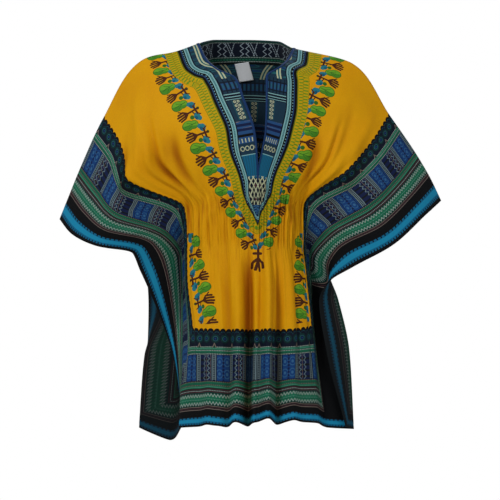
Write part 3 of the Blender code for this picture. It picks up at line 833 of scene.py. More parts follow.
def makeYokePrint():
    group = Group(
        "yokePrint",
        (("Distance", "number"), ("Along", "number"), ("Across", "number"), ("Drop", "number"), ("Middle", "number")),
        (("Color", "colour"), ("Mask", "number")),
    )
    e = 0 - group.value("Distance")
    a, across, drop, middle = (group.value(label) for label in ("Along", "Across", "Drop", "Middle"))
    flap = group.bands(drop, yoke["span"], [(start, inks[name]) for start, name in yoke["flap"]])
    colour = flap

    def lay(mask, name):
        nonlocal colour
        colour = group.paint(colour, mask, inks[name])

    # shoulders: squares and a second pair of pale lines
    square = group.distance(a.toRepeat(11.0), drop.toRepeat(11.0), (0.0, 0.0))
    high = drop.under(84)
    lay(high & square.near(3.2, 0.7), "aquaMiddle")
    lay(high & square.under(1.5), "blue")
    lay(high & e.between(31, 34), "cream")
    lay(high & e.between(34, 37), "aquaMiddle")
    lay(high & e.between(37, 40), "cream")
    # flaps: blocks, pale lines, a column of beads, stripes and blocks
    blocks = drop.between(84, 116)
    lay(blocks & (drop.near(92, 1.2) | drop.near(110, 1.0) | across.toRepeat(9.0).under(1.0)), "deepNavy")
    lay(blocks & drop.between(94, 108) & across.toRepeat(9.0).over(2.2), "flapBlue")
    lay(blocks & drop.between(97, 105) & across.toRepeat(9.0).over(3.4), "aquaMiddle")
    lay(drop.near(118, 0.9) | drop.near(124, 0.8) | drop.near(129, 0.6), "aqua")
    beads = drop.between(131, 172)
    bead = group.distance((across - 17).size(), drop.toRepeat(8.4), (3.6, 0.0))
    lay(beads & bead.under(2.7), "cream")
    lay(beads & bead.under(1.1), "navy")
    lay(beads & group.distance(across - 17, drop.toRepeat(8.4) - 4.2, (0.0, 0.0)).under(1.5), "cream")
    lay(beads & (across.near(9.5, 0.6) | across.near(25, 0.6)), "aquaMiddle")
    lay((drop.near(176, 0.7) | drop.near(189, 0.6)) & a.toRepeat(4.0).over(0.8), "tan")
    lay(drop.between(211, 220) & across.toRepeat(8.0).under(1.2), "cream")
    low = drop.between(222, 245)
    lay(low & group.distance(across.toRepeat(12.0), drop - 233, (0.0, 0.0)).near(4.6, 0.9), "cream")
    lay(drop.between(246, 290) & across.toRepeat(7.4).under(1.0), "teal")
    lay(drop.near(247, 0.8), "aqua")
    # lattice in the point of the yoke, and the beaded V under it
    m = middle.size()
    point = drop.between(288, 324)
    lattice = (m + drop * 0.9).toRepeat(9.0).under(1.25) | (m - drop * 0.9).toRepeat(9.0).under(1.25)
    lay(point & lattice, "cream")
    lay(point & group.distance(m - 5, drop.toRepeat(15.0), (0.0, 0.0)).under(1.9), "plum")
    lay(drop.over(322), "deepNavy")
    lay(drop.over(322) & a.toRepeat(4.4).under(1.4), "paleBlue")
    # bands that follow the outline
    edge = group.bands(e, 40.0, [(start, inks[name]) for start, name in yoke["bands"]])
    colour = group.paint(colour, e.under(22), edge)
    lay(e.near(8.4, 0.95) & a.toRepeat(6.2).under(1.0), "aqua")
    lay(e.near(15.7, 0.5) & a.toRepeat(3.0).under(0.9), "aqua")
    # outside: a rim and two rows of small ribs
    d = group.value("Distance")
    lay(d.over(0), "oliveYellow")
    lay(d.between(0, 2.0), "olive")
    rib = a.toRepeat(6.4)
    offset = (a + 3.2).toRepeat(6.4)
    lay(d.between(3.4, 9.6) & rib.under(1.15), "ribGreen")
    lay(d.between(11.2, 18.4) & offset.under(1.3), "ribGreen")
    lay(d.near(10.4, 0.75) & a.toRepeat(3.2).under(0.9), "olive")
    lay(d.near(19.6, 0.55) & a.toRepeat(4.2).under(1.3), "olive")
    group.give("Color", colour)
    group.give("Mask", d.under(20.4))
    return group


# one sprig: places on a field 48 mm across and one repeat long
sprig = {
    "repeat": 47.0,
    "hand": (
        ((3, 24), (30, 24)), ((9, 16), (8, 32)), ((25, 24), (33, 17)), ((33, 17), (43, 18)), ((25, 24), (33, 31)),
        ((33, 31), (43, 33)), ((28, 22), (46, 22.5)), ((28, 26), (46, 28.5)),
    ),
    "twigs": (((9, 16), (3, 13)), ((8, 32), (3, 36)), ((30, 20), (40, 12)), ((16, 24), (14, 31))),
    "tip": (
        ((1, 396), (1, 420)), ((1, 414), (-9, 424)), ((-9, 424), (-10, 434)), ((1, 418), (-4, 438)), ((1, 418), (4, 440)),
        ((1, 414), (11, 424)), ((11, 424), (12, 434)), ((-6, 404), (8, 404)),
    ),
    "thick": 1.9,
    "tipThick": 2.7,
    "thin": 1.1,
}


def makeSprigPrint(stroke):
    group = Group("sprigPrint", (("Out", "number"), ("Along", "number")), (("Color", "colour"), ("Mask", "number")))
    q = group.value("Out")
    repeat = sprig["repeat"]
    v = group.value("Along").inRepeat(repeat)
    inField = q.between(0, 50)
    w = (v + 12).inRepeat(repeat)  # the leaf lies over the end of the repeat
    rim = group.distance((q - 35) * 0.9, w - 12, (0.0, 0.0)).under(10.8)
    rim = rim | group.distance((q - 24) * 0.9, w - 14, (0.0, 0.0)).under(8.6)
    leaf = group.distance((q - 35) * 0.9, w - 12, (0.0, 0.0)).under(9.6)
    leaf = leaf | group.distance((q - 24) * 0.9, w - 14, (0.0, 0.0)).under(7.4)
    vein = w.near(12.5, 0.7) & q.between(18, 42) | (w - 12.5).size().near((q - 25) * 0.6, 0.6) & q.between(25, 36)
    upper = group.distance((q - 10) * 0.9, (v - 13) * 0.75, (0.0, 0.0)).under(5.6)
    upper = upper | group.distance(q - 14, v - 9, (0.0, 0.0)).under(4.8)
    lower = group.distance((q - 11) * 0.9, (v - 37) * 0.75, (0.0, 0.0)).under(5.6)
    lower = lower | group.distance(q - 8, v - 42, (0.0, 0.0)).under(4.4)
    shade = group.distance((q - 13) * 1.2, v - 14, (0.0, 0.0)).under(3.4)
    shade = shade | group.distance(q - 14, v - 39, (0.0, 0.0)).under(3.2)
    calyx = group.distance(q - 21, v - 35, (0.0, 0.0)).under(4.2)
    calyx = calyx | group.distance(q - 3, v - 24, (0.0, 0.0)).under(3.0)
    point = group.joined(q, v)
    tulip = strokes(group, point, stroke, sprig["hand"], sprig["thick"])
    twigs = strokes(group, point, stroke, sprig["twigs"], sprig["thin"])
    dark = ((w - 13) + (q - 30) * 0.3).over(1.0) & q.over(16)
    colour = group.paint(inks["leafVein"], leaf, inks["leafGreen"])
    colour = group.paint(colour, leaf & dark, inks["leafShade"])
    colour = group.paint(colour, leaf & vein, inks["leafVein"])
    colour = group.paint(colour, calyx, inks["leafVein"])
    colour = group.paint(colour, upper | lower, inks["dropTeal"])
    colour = group.paint(colour, shade, inks["dropDark"])
    colour = group.paint(colour, tulip | twigs, inks["brown"])
    group.give("Color", colour)
    group.give("Mask", inField & (rim | upper | lower | calyx | tulip | twigs))
    return group


def makeGroundPrint():
    # yellow ground, a little uneven as screen printing leaves it
    group = Group("groundPrint", (("Cloth", "vector"),), (("Color", "colour"),))
    blotch = group.noise(group.source.outputs["Cloth"], 9.0, 3.0, 0.6)
    group.give("Color", group.paint(inks["yellow"], ((blotch - 0.42) * 1.6).clamped(), inks["deepYellow"]))
    return group


def makeSprigCloth(groundPrint, sprigPrint):
    # ground with the sprigs that stand up from the hem
    group = Group("sprigCloth", (("Cloth", "vector"), ("Vine", "vector")), (("Color", "colour"),))
    ground = group.use(groundPrint, Cloth=group.source.outputs["Cloth"])
    place, drop = group.axes("Cloth")
    beside, along = group.axes("Vine")
    low = group.use(sprigPrint, Out=beside, Along=along)
    mask = Number(group.tree, low["Mask"]) & drop.between(362, 562) & place.size().over(190)
    group.give("Color", group.paint(ground["Color"], mask, low["Color"]))
    return group


def makeYokeCloth(groundPrint, yokePrint, sprigPrint):
    # the yoke with the sprigs beside it
    group = Group(
        "yokeCloth",
        (("Cloth", "vector"), ("Length", "vector"), ("Yoke", "vector"), ("Vine", "vector")),
        (("Color", "colour"),),
    )
    ground = group.use(groundPrint, Cloth=group.source.outputs["Cloth"])
    place, drop = group.axes("Cloth")
    distance, along = group.axes("Yoke")
    out, up = group.axes("Vine")
    beside = group.use(sprigPrint, Out=out, Along=up)
    colour = group.paint(ground["Color"], Number(group.tree, beside["Mask"]) & drop.under(396), beside["Color"])
    tip = strokes(group, group.joined(place * 0.37, drop), stroke, sprig["tip"], sprig["tipThick"])
    colour = group.paint(colour, tip, inks["brown"])
    alongRow = group.axes("Length")[0]
    inside = group.use(yokePrint, Distance=distance, Along=along, Across=place.size(), Drop=drop, Middle=alongRow)
    group.give("Color", group.paint(colour, Number(group.tree, inside["Mask"]), inside["Color"]))
    return group


def makeBorderCloth(groundPrint, borderPrint):
    # side or hem border, whichever edge is nearer
    group = Group(
        "borderCloth", (("Cloth", "vector"), ("Length", "vector"), ("Border", "vector")), (("Color", "colour"),)
    )
    ground = group.use(groundPrint, Cloth=group.source.outputs["Cloth"])
    alongRow, alongColumn = group.axes("Length")
    side, up = group.axes("Border")
    onHem = up.under(side)
    along = alongColumn + (alongRow - alongColumn) * onHem
    panel = border["sidePanel"] + onHem * (border["hemPanel"] - border["sidePanel"])
    edging = group.use(borderPrint, Along=along, Panel=panel, **{"From Edge": side.least(up)})
    mask = Number(group.tree, edging["Mask"])
    group.give("Color", group.paint(ground["Color"], mask, edging["Color"]))
    return group


def makeWeave():
    # plain weave and soft wear of the cloth, from a place in metres
    group = Group(
        "plainWeave",
        (("Vector", "vector"), ("Thread", "number"), ("Crumple", "number")),
        (("Height", "number"), ("Shade", "number"), ("Slub", "number")),
    )
    x, y = group.axes("Vector")
    thread = group.value("Thread")
    warp = (x * math.pi / thread).math("SINE", x * math.pi / thread)
    weft = (y * math.pi / thread).math("SINE", y * math.pi / thread)
    slub = group.noise(group.source.outputs["Vector"], 260.0, 2.0, 0.6)
    soft = group.noise(group.source.outputs["Vector"], 34.0, 2.0, 0.45)
    crumple = group.noise(group.source.outputs["Vector"], 78.0, 3.0, 0.5)
    height = warp * weft * 0.05 + slub * 0.05 + (soft * 1.1 + crumple * 0.35) * group.value("Crumple")
    group.give("Height", height)
    group.give("Shade", (warp * weft * 0.5 + 0.5) * 0.35 + slub * 0.65)
    group.give("Slub", slub)
    return group


def makeFoldShade():
    # fine gathers drawn down from the shirred waist as a bump, and painted shade in the fold valleys and along the
    # gathers
    group = Group("foldShade", (("Cloth", "vector"), ("Fold", "vector")), (("Height", "number"), ("Depth", "number")))
    place, drop = group.axes("Cloth")
    fold = group.axes("Fold")[0]
    gathered = drop.ramp(288, 322) * (1 - drop.ramp(366, 452)) * (1 - place.size().ramp(360, 440))
    fine = group.noise(group.joined(place / 15, drop / 120), 1.0, 3.0, 0.62)
    broad = group.noise(group.joined(place / 34, drop / 260), 1.0, 2.0, 0.5)
    loose = drop.ramp(60, 300) * 0.35
    height = (fine - 0.5) * (gathered * 5.0 + 0.5) + (broad - 0.5) * (loose + gathered) * 4.0
    # painted shade: darker in the valleys of the folds, along the low lines of the fine gathers and in soft patches
    # of the broad noise
    valley = (0 - fold).ramp(1.0, 14)
    creases = ((0.47 - fine) * 5.0).clamped() * (gathered * 0.75 + 0.03)
    softer = ((0.46 - broad) * 4.0).clamped() * (gathered * 0.3 + loose * 0.5)
    group.give("Height", height)
    group.give("Depth", (valley * 0.85 + creases + softer).clamped())
    return group


stroke = makeStroke()
borderPrint = makeBorderPrint()
yokePrint = makeYokePrint()
sprigPrint = makeSprigPrint(stroke)
groundPrint = makeGroundPrint()
sprigCloth = makeSprigCloth(groundPrint, sprigPrint)
yokeCloth = makeYokeCloth(groundPrint, yokePrint, sprigPrint)
borderCloth = makeBorderCloth(groundPrint, borderPrint)
plainWeave = makeWeave()
foldShade = makeFoldShade()
print("shader groups made")


class Finish(Group):
    # A material with its Principled shader, and the same drawing tools as a group.

    def __init__(self, name, roughness, sheen=0.0, tint=(1.0, 1.0, 1.0)):
        self.material = bpy.data.materials.new(name)
        self.material.use_nodes = True
        self.tree = self.material.node_tree
        self.shader = self.tree.nodes["Principled BSDF"]
        self.roughness = roughness
        self.shader.inputs["Metallic"].default_value = 0.0
        self.shader.inputs["Sheen Weight"].default_value = sheen
        self.shader.inputs["Sheen Roughness"].default_value = 0.45
        self.shader.inputs["Sheen Tint"].default_value = (*tint, 1.0)
        self.shader.inputs["Specular IOR Level"].default_value = 0.1

    def map(self, name):
        node = self.tree.nodes.new("ShaderNodeUVMap")
        node.uv_map = name
        return node.outputs[0]

    def places(self, name):
        # the two numbers of a map, in millimetres
        split = self.tree.nodes.new("ShaderNodeSeparateXYZ")
        self.tree.links.new(self.map(name), split.inputs[0])
        return Number(self.tree, split.outputs[0]) * 1000, Number(self.tree, split.outputs[1]) * 1000

    def finishWith(self, colour, weave, shadeDepth=0.14, bump=0.9, scale=mm, height=None):
        # darken between the threads, roughen and bump by the weave
        shade = Number(self.tree, weave["Shade"]) * (2 * shadeDepth) + (1 - shadeDepth)
        scaled = self.tree.nodes.new("ShaderNodeVectorMath")
        scaled.operation = "SCALE"
        self.tree.links.new(colour, scaled.inputs[0])
        self.tree.links.new(shade.socket, scaled.inputs["Scale"])
        self.tree.links.new(scaled.outputs[0], self.shader.inputs["Base Color"])
        rough = (Number(self.tree, weave["Slub"]) - 0.5) * 0.25 + self.roughness
        self.tree.links.new(rough.socket, self.shader.inputs["Roughness"])
        node = self.tree.nodes.new("ShaderNodeBump")
        node.inputs["Strength"].default_value = bump
        node.inputs["Distance"].default_value = scale
        self.tree.links.new(height.socket if height else weave["Height"], node.inputs["Height"])
        self.tree.links.new(node.outputs[0], self.shader.inputs["Normal"])
        return self.material


def printedCotton(name, printGroup, maps, greyAndShade=0.0):
    finish = Finish(name, 0.66)
    prints = finish.use(printGroup, **{label: finish.map(label.lower()) for label in maps})
    weave = finish.use(plainWeave, Vector=finish.map("cloth"), Thread=0.5, Crumple=0.55)
    folds = finish.use(foldShade, Cloth=finish.map("cloth"), Fold=finish.map("fold"))
    colour = prints["Color"]
    if greyAndShade:
        # the print shows through greyed, and is darkened towards charcoal as painted shade for the inside of the
        # garment
        colour = finish.paint(colour, Number(finish.tree, weave["Slub"]) * 0.2 + (greyAndShade - 0.1), ink(15, 21, 24))
    # painted shade in the fold valleys and along the gathers: the colour is darkened towards deep orange, and towards
    # grey on the wrong side
    paintedShadeColour = finish.tree.nodes.new("ShaderNodeVectorMath")
    paintedShadeColour.operation = "MULTIPLY"
    paintedShadeColour.inputs[1].default_value = (0.46, 0.235, 0.1) if not greyAndShade else (0.3, 0.3, 0.3)
    finish.tree.links.new(colour, paintedShadeColour.inputs[0])
    colour = finish.paint(colour, Number(finish.tree, folds["Depth"]), paintedShadeColour.outputs[0])
    height = Number(finish.tree, weave["Height"]) + Number(finish.tree, folds["Height"])
    return finish.finishWith(colour, weave, height=height)


# where each part of the print lies on the cloth, in millimetres
regions = {
    "borderAcross": 330.0, "borderDrop": 545.0, "yokeDrop": 455.0, "yokeReach": 24.0,
    "sprigMiddle": 24.0, "sprigReach": 30.0, "sprigAcross": 205.0,
}

# the three parts of the print: its group, its maps, and how much it is greyed on the wrong side and darkened there as
# painted shade
printParts = (
    ("border", borderCloth, ("Cloth", "Length", "Border"), 0.78),
    ("yoke", yokeCloth, ("Cloth", "Length", "Yoke", "Vine"), 0.3),
    ("body", sprigCloth, ("Cloth", "Vine"), 0.55),
)
cottons = [printedCotton(name + "Cotton", group, maps) for name, group, maps, greyAndShade in printParts]
cottons += [printedCotton(name + "WrongSideShaded", group, maps, greyAndShade) for name, group, maps, greyAndShade in printParts]


def bandRows(bands):
    # drops of the rows, closer where the cloth needs them
    rows = [bands[0][0]]
    for first, last, step in bands:
        count = max(1, round((last - first) / step))
        rows += list(first + (last - first) * (number + 1) / count for number in range(count))
    return np.array(rows)


# outline of the yoke on the flat cloth, as (drop, across)
yokeLeft = ((0, 124), (48, 106), (70, 82), (80, 60), (118, 58), (172, 58), (248, 70), (302, 62), (345, 8), (352, 0))
yokeRight = ((0, 114), (40, 105), (72, 73), (102, 78), (155, 92), (222, 98), (300, 88), (338, 14), (352, 0))
# middle of the columns of sprigs, beside the yoke and up from the hem
vineLeft = (
    (0, 153), (58, 136), (105, 118), (150, 115), (195, 122), (238, 130), (278, 132), (312, 120), (345, 80), (382, 40), (430, 2),
)
vineRight = (
    (0, 150), (52, 147), (102, 138), (145, 138), (188, 152), (225, 165), (265, 172), (305, 158), (340, 112), (378, 58), (430, 6),
)
vineBack = (
    (0, 152), (55, 142), (103, 128), (148, 126), (192, 137), (232, 147), (272, 152), (308, 139), (342, 96), (380, 49), (430, 4),
)
lowVineLeft = ((368, 292), (418, 280), (468, 264), (515, 252), (566, 250))
lowVineRight = ((368, 312), (420, 306), (475, 300), (520, 290), (566, 285))
yokeBack = ((0, 119), (44, 105), (71, 78), (91, 69), (136, 72), (197, 80), (275, 80), (341, 9), (352, 0))


def outlinePoints(panel, side, outline):
    drops = np.linspace(outline[0][0], outline[-1][0], 110)
    acrosses = curveAt([row[0] for row in outline], [[row[1]] for row in outline], drops)[:, 0]
    return np.array([panel.skin(side, drop, [across])[0] for drop, across in zip(drops, acrosses)])


def nearestOn(points, path):
    # distance of each point from a path, and how far along the path the nearest place is
    starts, ends = path[:-1], path[1:]
    lengths = np.linalg.norm(ends - starts, axis=1)
    reached = np.concatenate([[0.0], np.cumsum(lengths)])
    best = np.full(len(points), 1e9)
    along = np.zeros(len(points))
    for number, (start, end) in enumerate(zip(starts, ends)):
        run = end - start
        share = np.clip((points - start) @ run / (run @ run), 0, 1)
        away = np.linalg.norm(points - (start + share[:, None] * run), axis=1)
        closer = away < best
        best = np.where(closer, away, best)
        along = np.where(closer, reached[number] + share * lengths[number], along)
    return best, along


def runLengths(points, axis):
    # length of cloth from the first row or column to each point
    steps = np.linalg.norm(np.diff(points, axis=axis), axis=2)
    return np.insert(np.cumsum(steps, axis=axis), 0, 0.0, axis=axis)


def halfCloth(panel, side, drops, outline, vines):
    # places on the flat cloth, points in space and print maps of one half of a panel
    count = grid["bodyColumns"] + grid["wingColumns"]
    acrosses, points = [], []
    for drop in drops:
        start = panel.innerPlace(side, drop)
        row = np.concatenate([
            np.linspace(start, cut["creaseLine"], grid["bodyColumns"] + 1),
            np.linspace(cut["creaseLine"], cut["halfCloth"], grid["wingColumns"] + 1)[1:],
        ])
        acrosses.append(row)
        points.append(panel.skin(side, drop, row))
    acrosses, points = np.array(acrosses), np.array(points)
    places = np.stack([side * acrosses, np.repeat(drops[:, None], count + 1, axis=1)], axis=2)
    alongColumn, alongRow = (runLengths(points, axis) for axis in (0, 1))
    flat = points.reshape(-1, 3)
    distance, along = np.full(len(flat), 1e9), np.zeros(len(flat))
    for way in (-1, 1):
        path = outlinePoints(panel, way, outline[way])
        away, reached = nearestOn(flat, path)
        closer = away < distance
        distance, along = np.where(closer, away, distance), np.where(closer, reached, along)
    rowDrops = np.repeat(drops, count + 1)
    knots = outline[side]
    limit = curveAt([row[0] for row in knots], [[row[1]] for row in knots], rowDrops)[:, 0]
    inside = (acrosses.ravel() < limit) & (rowDrops < knots[-1][0])
    squeeze = 1 + 0.33 * smoothStep(200, 292, rowDrops) + 2.5 * smoothStep(292, 345, rowDrops)
    spread = 1.3 - 0.45 * smoothStep(0, 300, rowDrops)
    distance = np.where(inside, -distance * squeeze, distance / spread)
    # the vines: out from the yoke, and in from the side
    beside, reachedVine = np.full(len(flat), 1e9), np.zeros(len(flat))
    for way in (-1, 1):
        for vine, inward in ((vines[way][0], False), (vines[way][1], True)):
            away, reached = nearestOn(flat, outlinePoints(panel, way, vine))
            middle = curveAt([row[0] for row in vine], [[row[1]] for row in vine], rowDrops)[:, 0]
            further = (acrosses.ravel() > middle) & (side == way)
            signed = np.where(further != inward, away, -away)
            closer = away < np.abs(beside)
            beside = np.where(closer, signed, beside)
            reachedVine = np.where(closer, reached + (36 if inward else 0), reachedVine)
    narrow = 1 + 0.45 * smoothStep(270, 330, rowDrops) * (1 - smoothStep(395, 440, rowDrops))
    # relief of the folds, carried in the fold map for the painted shade in their valleys
    folds = np.array([panel.relief(drop, side * row) for drop, row in zip(drops, acrosses)])
    # the side border: the stripe lies near the free edge, and on a folded tail it runs narrower; further in, on the
    # right front tail, the black band comes back as a painted shadow behind the fold
    fromSelvedge = cut["halfCloth"] - acrosses
    sideBorder = np.maximum(1.05 * (fromSelvedge - 22), 0.56 * fromSelvedge - 0.5)
    if panel.facing < 0 and side > 0:
        # from 48 to 97 mm off the selvedge the black band is drawn again, painted shade behind the fold
        foldedAndShaded = np.interp(fromSelvedge, (0, 9, 18, 23, 48, 60, 97, 200, 600), (-2, 4, 18, 31, 62, 29, 22, 187, 607))
        sideBorder += (foldedAndShaded - sideBorder) * smoothStep(380, 450, drops)[:, None]
    hemBorder = np.repeat((cut["clothLength"] - drops)[:, None], count + 1, axis=1)
    maps = {
        "cloth": places.reshape(-1, 2),
        "length": np.stack([alongRow.ravel(), alongColumn.ravel()], axis=1),
        "yoke": np.stack([distance, along], axis=1),
        "vine": np.stack([beside * narrow + 24, reachedVine], axis=1),
        "fold": np.stack([folds.ravel(), np.zeros(len(flat))], axis=1),
        "border": np.stack([sideBorder.ravel(), hemBorder.ravel()], axis=1),
    }
    return flat, maps, count


def addHalf(bm, panel, side, drops, outline, vines):
    flat, maps, count = halfCloth(panel, side, drops, outline, vines)
    rows = len(drops) - 1
    made = bmesh.ops.create_grid(bm, x_segments=count, y_segments=rows, size=0.5)["verts"]
    layers = {name: bm.verts.layers.float_vector[name] for name in maps}
    for vertex in made:
        column, row = round((vertex.co.x + 0.5) * count), round((0.5 - vertex.co.y) * rows)
        number = row * (count + 1) + column
        vertex.co = flat[number] * mm
        for name, layer in layers.items():
            vertex[layer] = (*(maps[name][number] * mm), 0.0)
    return made


def finishPiece(name, bm, materials, thickness=None, smooth=True, offset=0.0):
    # the mesh of a piece, with its wall where it is a sheet
    mesh = bpy.data.meshes.new(name)
    bm.to_mesh(mesh)
    bm.free()
    for material in materials:
        mesh.materials.append(material)
    if smooth:
        mesh.shade_smooth()
    piece = bpy.data.objects.new(name, mesh)
    bpy.context.scene.collection.objects.link(piece)
    if thickness:
        wall = piece.modifiers.new("wall", "SOLIDIFY")
        wall.thickness = thickness * mm
        wall.offset = offset
        wall.use_even_offset = False
        if len(materials) > 1:
            wall.material_offset = len(materials) // 2
            wall.material_offset_rim = len(materials) // 2
        bpy.context.view_layer.objects.active = piece
        piece.select_set(True)
        bpy.ops.object.modifier_apply(modifier="wall")
        piece.select_set(False)
    return piece


def copyMaps(bm, names):
    # carry each vertex's print places to the UV maps
    for name in names:
        source = bm.verts.layers.float_vector[name]
        target = bm.loops.layers.uv.new(name)
        for face in bm.faces:
            for loop in face.loops:
                loop[target].uv = loop.vert[source][:2]


def buildPanel(name, panel, outline, vines, closedFrom):
    bm = bmesh.new()
    names = ("cloth", "length", "yoke", "vine", "border", "fold")
    for layer in names:
        bm.verts.layers.float_vector.new(layer)
    drops = bandRows(grid["rowBands"])
    for side in (-1, 1):
        addHalf(bm, panel, side, drops, outline, vines)
    place = bm.verts.layers.float_vector["cloth"]
    middle = [v for v in bm.verts if abs(v[place][0]) < 1e-6 and v[place][1] >= closedFrom * mm]
    bmesh.ops.remove_doubles(bm, verts=middle, dist=0.3 * mm)
    bmesh.ops.recalc_face_normals(bm, faces=bm.faces)
    facing = panel.facing
    reference = [face for face in bm.faces if abs(face.calc_center_median().x) < 0.06 and face.calc_center_median().z < -0.4]
    if sum(face.normal.y for face in reference) * facing < 0:
        bmesh.ops.reverse_faces(bm, faces=bm.faces)
    copyMaps(bm, names)
    # which part of the print each face carries
    yokeLayer = bm.verts.layers.float_vector["yoke"]
    vineLayer = bm.verts.layers.float_vector["vine"]
    for face in bm.faces:
        spots = [vertex[place] for vertex in face.verts]
        wide, low = max(abs(spot[0]) for spot in spots), max(spot[1] for spot in spots)
        fromYoke = min(vertex[yokeLayer][0] for vertex in face.verts)
        fromSprigs = min(abs(vertex[vineLayer][0] - regions["sprigMiddle"] * mm) for vertex in face.verts)
        besideYoke = fromSprigs < regions["sprigReach"] * mm and abs(spots[0][0]) < regions["sprigAcross"] * mm
        if wide > regions["borderAcross"] * mm or low > regions["borderDrop"] * mm:
            face.material_index = 0
        elif spots[0][1] < regions["yokeDrop"] * mm and (fromYoke < regions["yokeReach"] * mm or besideYoke):
            face.material_index = 1
        else:
            face.material_index = 2
    for layer in names:
        bm.verts.layers.float_vector.remove(bm.verts.layers.float_vector[layer])
    return finishPiece(name, bm, cottons, grid["shell"])


frontVines = {-1: (vineLeft, lowVineLeft), 1: (vineRight, lowVineRight)}
backVines = {side: (vineBack, lowVineLeft) for side in (-1, 1)}
frontPiece = buildPanel("front_cloth", front, {-1: yokeLeft, 1: yokeRight}, frontVines, cut["slitEnd"])
print("front cloth made")
backPiece = buildPanel("back_cloth", back, {-1: yokeBack, 1: yokeBack}, backVines, 0)
print("back cloth made")

for piece, node in ((frontPiece, "front"), (backPiece, "back")):
    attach(piece, "root")
    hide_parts(node)


def plainStrip(name, rows, material, thickness, offset=0.0):
    # a strip of cloth from rows of points, with its own UV map in metres along and across
    rows = np.array(rows)
    down, right = len(rows) - 1, len(rows[0]) - 1
    bm = bmesh.new()
    layer = bm.verts.layers.float_vector.new("strip")
    made = bmesh.ops.create_grid(bm, x_segments=right, y_segments=down, size=0.5)["verts"]
    along = np.concatenate([[0.0], np.cumsum(np.linalg.norm(np.diff(rows[:, right // 2], axis=0), axis=1))])
    over = np.concatenate([[0.0], np.cumsum(np.linalg.norm(np.diff(rows[down // 2], axis=0), axis=1))])
    for vertex in made:
        column, row = round((vertex.co.x + 0.5) * right), round((0.5 - vertex.co.y) * down)
        vertex.co = rows[row][column] * mm
        vertex[layer] = (over[column] * mm, along[row] * mm, 0.0)
    bmesh.ops.recalc_face_normals(bm, faces=bm.faces)
    copyMaps(bm, ("strip",))
    bm.verts.layers.float_vector.remove(bm.verts.layers.float_vector["strip"])
    return finishPiece(name, bm, (material,), thickness, offset=offset)


# dark band inside the back neck
facing = {"depth": 51.0, "under": 1.5, "thickness": 0.8, "rows": 26, "columns": 60}


def facingPrint():
    finish = Finish("facingCotton", 0.66, 0.1)
    across, drop = finish.places("strip")
    bands = ((0, "darkGreen"), (5, "deepNavy"), (33, "darkGreen"), (44, "black"))
    colour = finish.bands(drop, 60.0, [(start, inks[shade]) for start, shade in bands])

    def lay(mask, name):
        nonlocal colour
        colour = finish.paint(colour, mask, inks[name])

    zig = drop.toRepeat(11.0)
    u = across.inRepeat(46.0)
    high = drop.between(6, 33)
    lay(high & (u.near(zig * 1.3 + 4, 0.95) | u.near(22 - zig * 1.2, 0.9)), "facingWhite")
    lay(high & (u - drop * 0.5).near(22, 0.85) & drop.toRepeat(3.4).under(1.1), "facingWhite")
    lay(high & ((u - drop * 0.5).near(17, 0.8) | (u + drop * 0.3).near(40, 0.8)) & drop.toRepeat(3.4).under(1.1), "facingWhite")
    lay((drop.near(34.5, 0.7) | drop.near(43, 0.7) | drop.near(5, 0.6)) & across.toRepeat(3.2).under(0.9), "white")
    lay(drop.near(39, 1.2) & across.toRepeat(6.4).under(2.0), "green")
    weave = finish.use(plainWeave, Vector=finish.map("strip"), Thread=0.5, Crumple=0.3)
    return finish.finishWith(colour, weave)


def facingRows():
    rows = []
    for drop in np.linspace(0.3, facing["depth"], facing["rows"] + 1):
        row = []
        for side in (-1, 1):
            acrosses = np.linspace(0, cut["neckHalfWidth"], facing["columns"] // 2 + 1)
            points = back.skin(side, drop, acrosses, -facing["under"])
            row.append(points[::-1] if side < 0 else points[1:])
        rows.append(np.vstack(row))
    return rows


facingPiece = plainStrip("neck_facing", facingRows(), facingPrint(), facing["thickness"])
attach(facingPiece, "root")
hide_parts("back_neck_facing")

# blue bias strip folded over the front neck edge and the slit
binding = {"width": 4.0, "cut": 11.8, "over": 1.2, "bulge": 0.7, "thickness": 0.7, "rows": 150}


def plainCloth(name, colour, wash, thread, roughness=0.62, sheen=0.05):
    # plain dyed cloth with a row of stitches near each edge of the strip
    finish = Finish(name, roughness, sheen)
    weave = finish.use(plainWeave, Vector=finish.map("strip"), Thread=0.5, Crumple=0.25)
    worn = finish.paint(colour, Number(finish.tree, weave["Slub"]), wash)
    across, along = finish.places("strip")
    stitch = (across.near(1.3, 0.28) | across.near(binding["cut"] - 1.3, 0.28)) & along.inRepeat(2.8).under(1.9)
    worn = finish.paint(worn, stitch, thread)
    return finish.finishWith(worn, weave)


def bindingRows(side):
    # round the edge: inside, the turn and outside
    width, over, bulge = binding["width"], binding["over"], binding["bulge"]
    profile = ((width, -over), (width * 0.55, -over - 0.15), (0.6, -over), (-bulge * 0.8, -over * 0.5), (-bulge, 0.0),
               (-bulge * 0.8, over * 0.5), (0.6, over), (width * 0.55, over + 0.15), (width, over))
    rows = []
    for drop in np.linspace(0.2, cut["slitEnd"] + 3, binding["rows"] + 1):
        start = front.innerPlace(side, drop)
        base = front.row(side, drop, [start, start + 1.0])
        inward = base[0] - base[1]
        inward /= np.linalg.norm(inward)
        row = []
        for offset, out in profile:
            point = front.skin(side, drop, [start + max(offset, 0.0)], out)[0]
            if offset < 0:
                point = point - inward * offset
            row.append(point)
        rows.append(row)
    return rows


blueCloth = plainCloth("bindingCotton", ink(24, 58, 104), ink(16, 42, 84), ink(58, 100, 146))
for side, name in ((-1, "left_neck_binding"), (1, "right_neck_binding")):
    piece = plainStrip(name, bindingRows(side), blueCloth, binding["thickness"])
    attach(piece, "root")
    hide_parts("neck_binding")

# small tag below the back neck, left bare
tag = {"width": 31.0, "height": 40.0, "across": -11.0, "drop": 49.0, "turn": 8.0, "lean": 16.0, "under": 2.6, "curl": 2.2,
       "rows": 16, "columns": 12, "thickness": 0.4}


